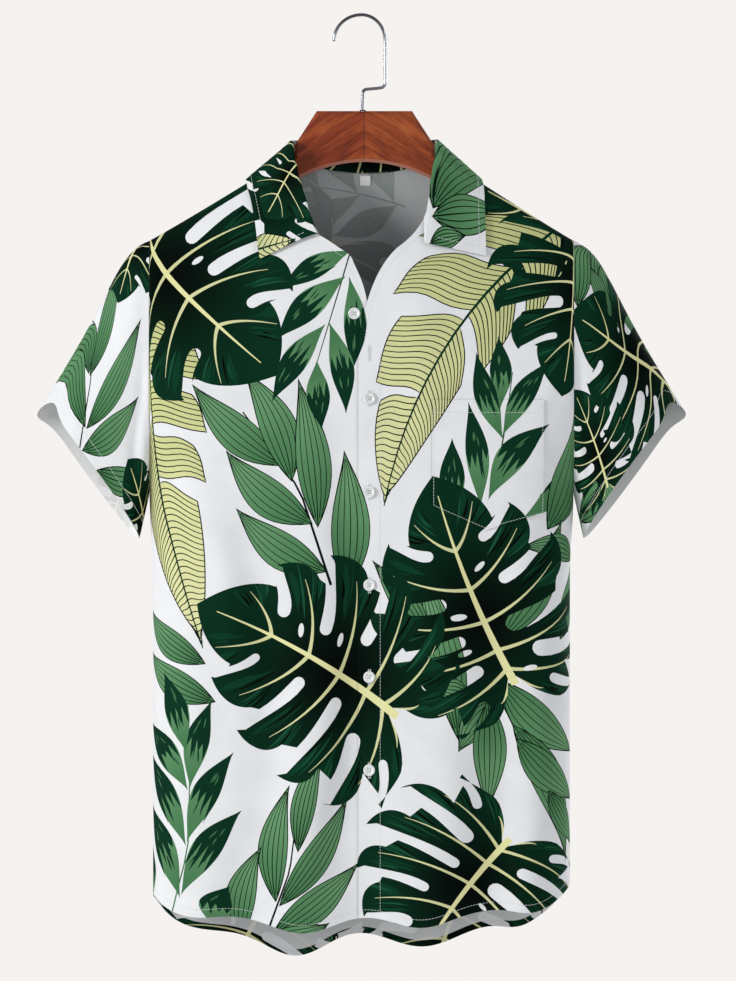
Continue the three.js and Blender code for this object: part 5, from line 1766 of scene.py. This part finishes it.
LEFT_BOARD = ((0.28, (0.17, 0.026, 0.006)), (0.5, (0.29, 0.055, 0.012)), (0.74, (0.42, 0.105, 0.024)))
on_left = wood.math("GREATER_THAN", off, 0.0)
boards = wood.mix(on_left, wood.ramp(grain, *RIGHT_BOARD), wood.ramp(grain, *LEFT_BOARD))
pore_shade = wood.ramp(pores, (0.36, (0.74, 0.7, 0.68)), (0.56, (1.0, 1.0, 1.0)))
pored = wood.mix(1.0, boards, pore_shade, "MULTIPLY")
jointed = wood.mix(wood.math("LESS_THAN", away, JOINT_HALF), pored, (0.06, 0.012, 0.005, 1))
tilt = wood.apart(wood.nodes.new("ShaderNodeNewGeometry").outputs["True Normal"])
slanted = wood.math("GREATER_THAN", wood.math("MULTIPLY", tilt["Y"], tilt["Z"]), SLANTED)
wood.colour(wood.mix(slanted, jointed, (0.42, 0.17, 0.12, 1)))
wood.bump(pores, 0.12, 0.0002)
hanger = bpy.data.objects["hanger_body"]
hanger.data.materials.clear()
hanger.data.materials.append(wood.mat)

# Polished wire: painted reflections, bands of light and dark down its height, as a room around it gives
chrome = Look("Chrome", Metallic=1.0, Roughness=0.14)
place = chrome.place()
height = chrome.math("MULTIPLY_ADD", chrome.apart(place)["Z"], 8.0, 1.0)
painted_reflection_bands = chrome.ramp(
    height, (0.2, (0.4, 0.41, 0.43)), (0.4, (0.07, 0.072, 0.075)), (0.46, (0.42, 0.43, 0.44)),
    (0.84, (0.32, 0.33, 0.35)), (0.97, (0.04, 0.042, 0.045)),
)
chrome.colour(chrome.mix(0.12, painted_reflection_bands, (0.6, 0.6, 0.62, 1)))
chrome.feed(chrome.shader.inputs["Roughness"], chrome.math("MULTIPLY", chrome.noise(place, 40.0, 2.0), 0.24))
give(hook, chrome.mat)
give(ferrule, HOLE_SHADE_AND_FERRULE)


# The flat cut of what shows: size and area of each piece and the pieces it rests on, worked out here and not
# used further.
# A sleeve's length runs aslant to its rings, so its cut is shallower than its seams
SLEEVE_SKEW = 0.79


def cut(outline):
    x, y = outline[:, 0], outline[:, 1]
    area = abs(np.dot(x, np.roll(y, -1)) - np.dot(y, np.roll(x, -1))) / 2
    size = np.ptp(outline, axis=0)
    return (float(size[0]) * MM, float(size[1]) * MM), float(area) * MM * MM


for key, outline, rests in (
    ("Front_left", LEFT_OUTLINE, ["hanger_body"]),
    ("Front_right", RIGHT_OUTLINE, ["hanger_body"]),
    ("Back", BACK_OUTLINE, ["hanger_body"]),
    ("Sleeve_right", SLEEVE_OUTLINE, ["Front_right", "Back"]),
    ("Sleeve_left", SLEEVE_OUTLINE, ["Front_left", "Back"]),
    ("Collar", COLLAR_OUTLINE, ["Front_right", "Front_left", "Back"]),
    ("Pocket", POCKET_OUTLINE, ["Front_left"]),
    ("Size_label", LABEL_OUTLINE, ["Back"]),
):
    flat, area = cut(outline)
    if outline is SLEEVE_OUTLINE:
        flat, area = (flat[0], flat[1] * SLEEVE_SKEW), area * SLEEVE_SKEW
    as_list(rests)

# Camera, light and floor. The camera sees 0.981 m of height in the cloth's plane.
CAMERA_DISTANCE = 14.0
CAMERA_AT = (0.0065, -0.4755)
SEEN_Y = -0.04
SEEN_HEIGHT = 0.981
SENSOR = 36
scene = bpy.context.scene
camera = bpy.data.objects.new("Camera", bpy.data.cameras.new("Camera"))
scene.collection.objects.link(camera)
camera.location = (CAMERA_AT[0], -CAMERA_DISTANCE, CAMERA_AT[1])
camera.rotation_euler = (math.pi / 2, 0, 0)
camera.data.sensor_width = SENSOR
camera.data.lens = SENSOR * (CAMERA_DISTANCE + SEEN_Y) / SEEN_HEIGHT
camera.data.clip_end = 50
scene.camera = camera

world = bpy.data.worlds.new("World")
scene.world = world
world.use_nodes = True
world_nodes, world_links = world.node_tree.nodes, world.node_tree.links
backing = world_nodes["Background"]
backing.inputs["Color"].default_value = (0.913, 0.888, 0.871, 1)
backing.inputs["Strength"].default_value = 1.0
studio = world_nodes.new("ShaderNodeBackground")
studio.inputs["Color"].default_value = (0.92, 0.95, 1.0, 1)
studio.inputs["Strength"].default_value = 0.52
seen = world_nodes.new("ShaderNodeLightPath")
choice = world_nodes.new("ShaderNodeMixShader")
world_links.new(seen.outputs["Is Camera Ray"], choice.inputs[0])
world_links.new(studio.outputs[0], choice.inputs[1])
world_links.new(backing.outputs[0], choice.inputs[2])
world_links.new(choice.outputs[0], world_nodes["World Output"].inputs["Surface"])


def area_light(name, place, target, size, power):
    data = bpy.data.lights.new(name, "AREA")
    data.size = size
    data.energy = power
    light = bpy.data.objects.new(name, data)
    light.location = place
    way = Vector(target) - Vector(place)
    light.rotation_euler = way.to_track_quat("-Z", "Y").to_euler()
    scene.collection.objects.link(light)


SHIRT_MIDDLE = (0, 0, -0.5)
area_light("Key", (-2.7, -1.8, 0.4), SHIRT_MIDDLE, 0.8, 68)
area_light("Fill", (2.4, -2.4, 0.1), SHIRT_MIDDLE, 1.6, 18)
area_light("Rear", (2.2, 2.4, 0.4), SHIRT_MIDDLE, 1.2, 50)

FLOOR_HALF = 2.4
FLOOR_Z = -1.25
corners = [(x * FLOOR_HALF, y * FLOOR_HALF, FLOOR_Z) for x, y in ((-1, -1), (1, -1), (1, 1), (-1, 1))]
floor_mesh = bpy.data.meshes.new("Floor")
floor_mesh.from_pydata(corners, [], [(0, 1, 2, 3)])
floor = linked("Floor", floor_mesh)
floor_mesh.materials.append(Look("Floor", Base_Color=(0.86, 0.85, 0.84, 1), Roughness=0.9).mat)

scene.view_settings.view_transform = "Standard"
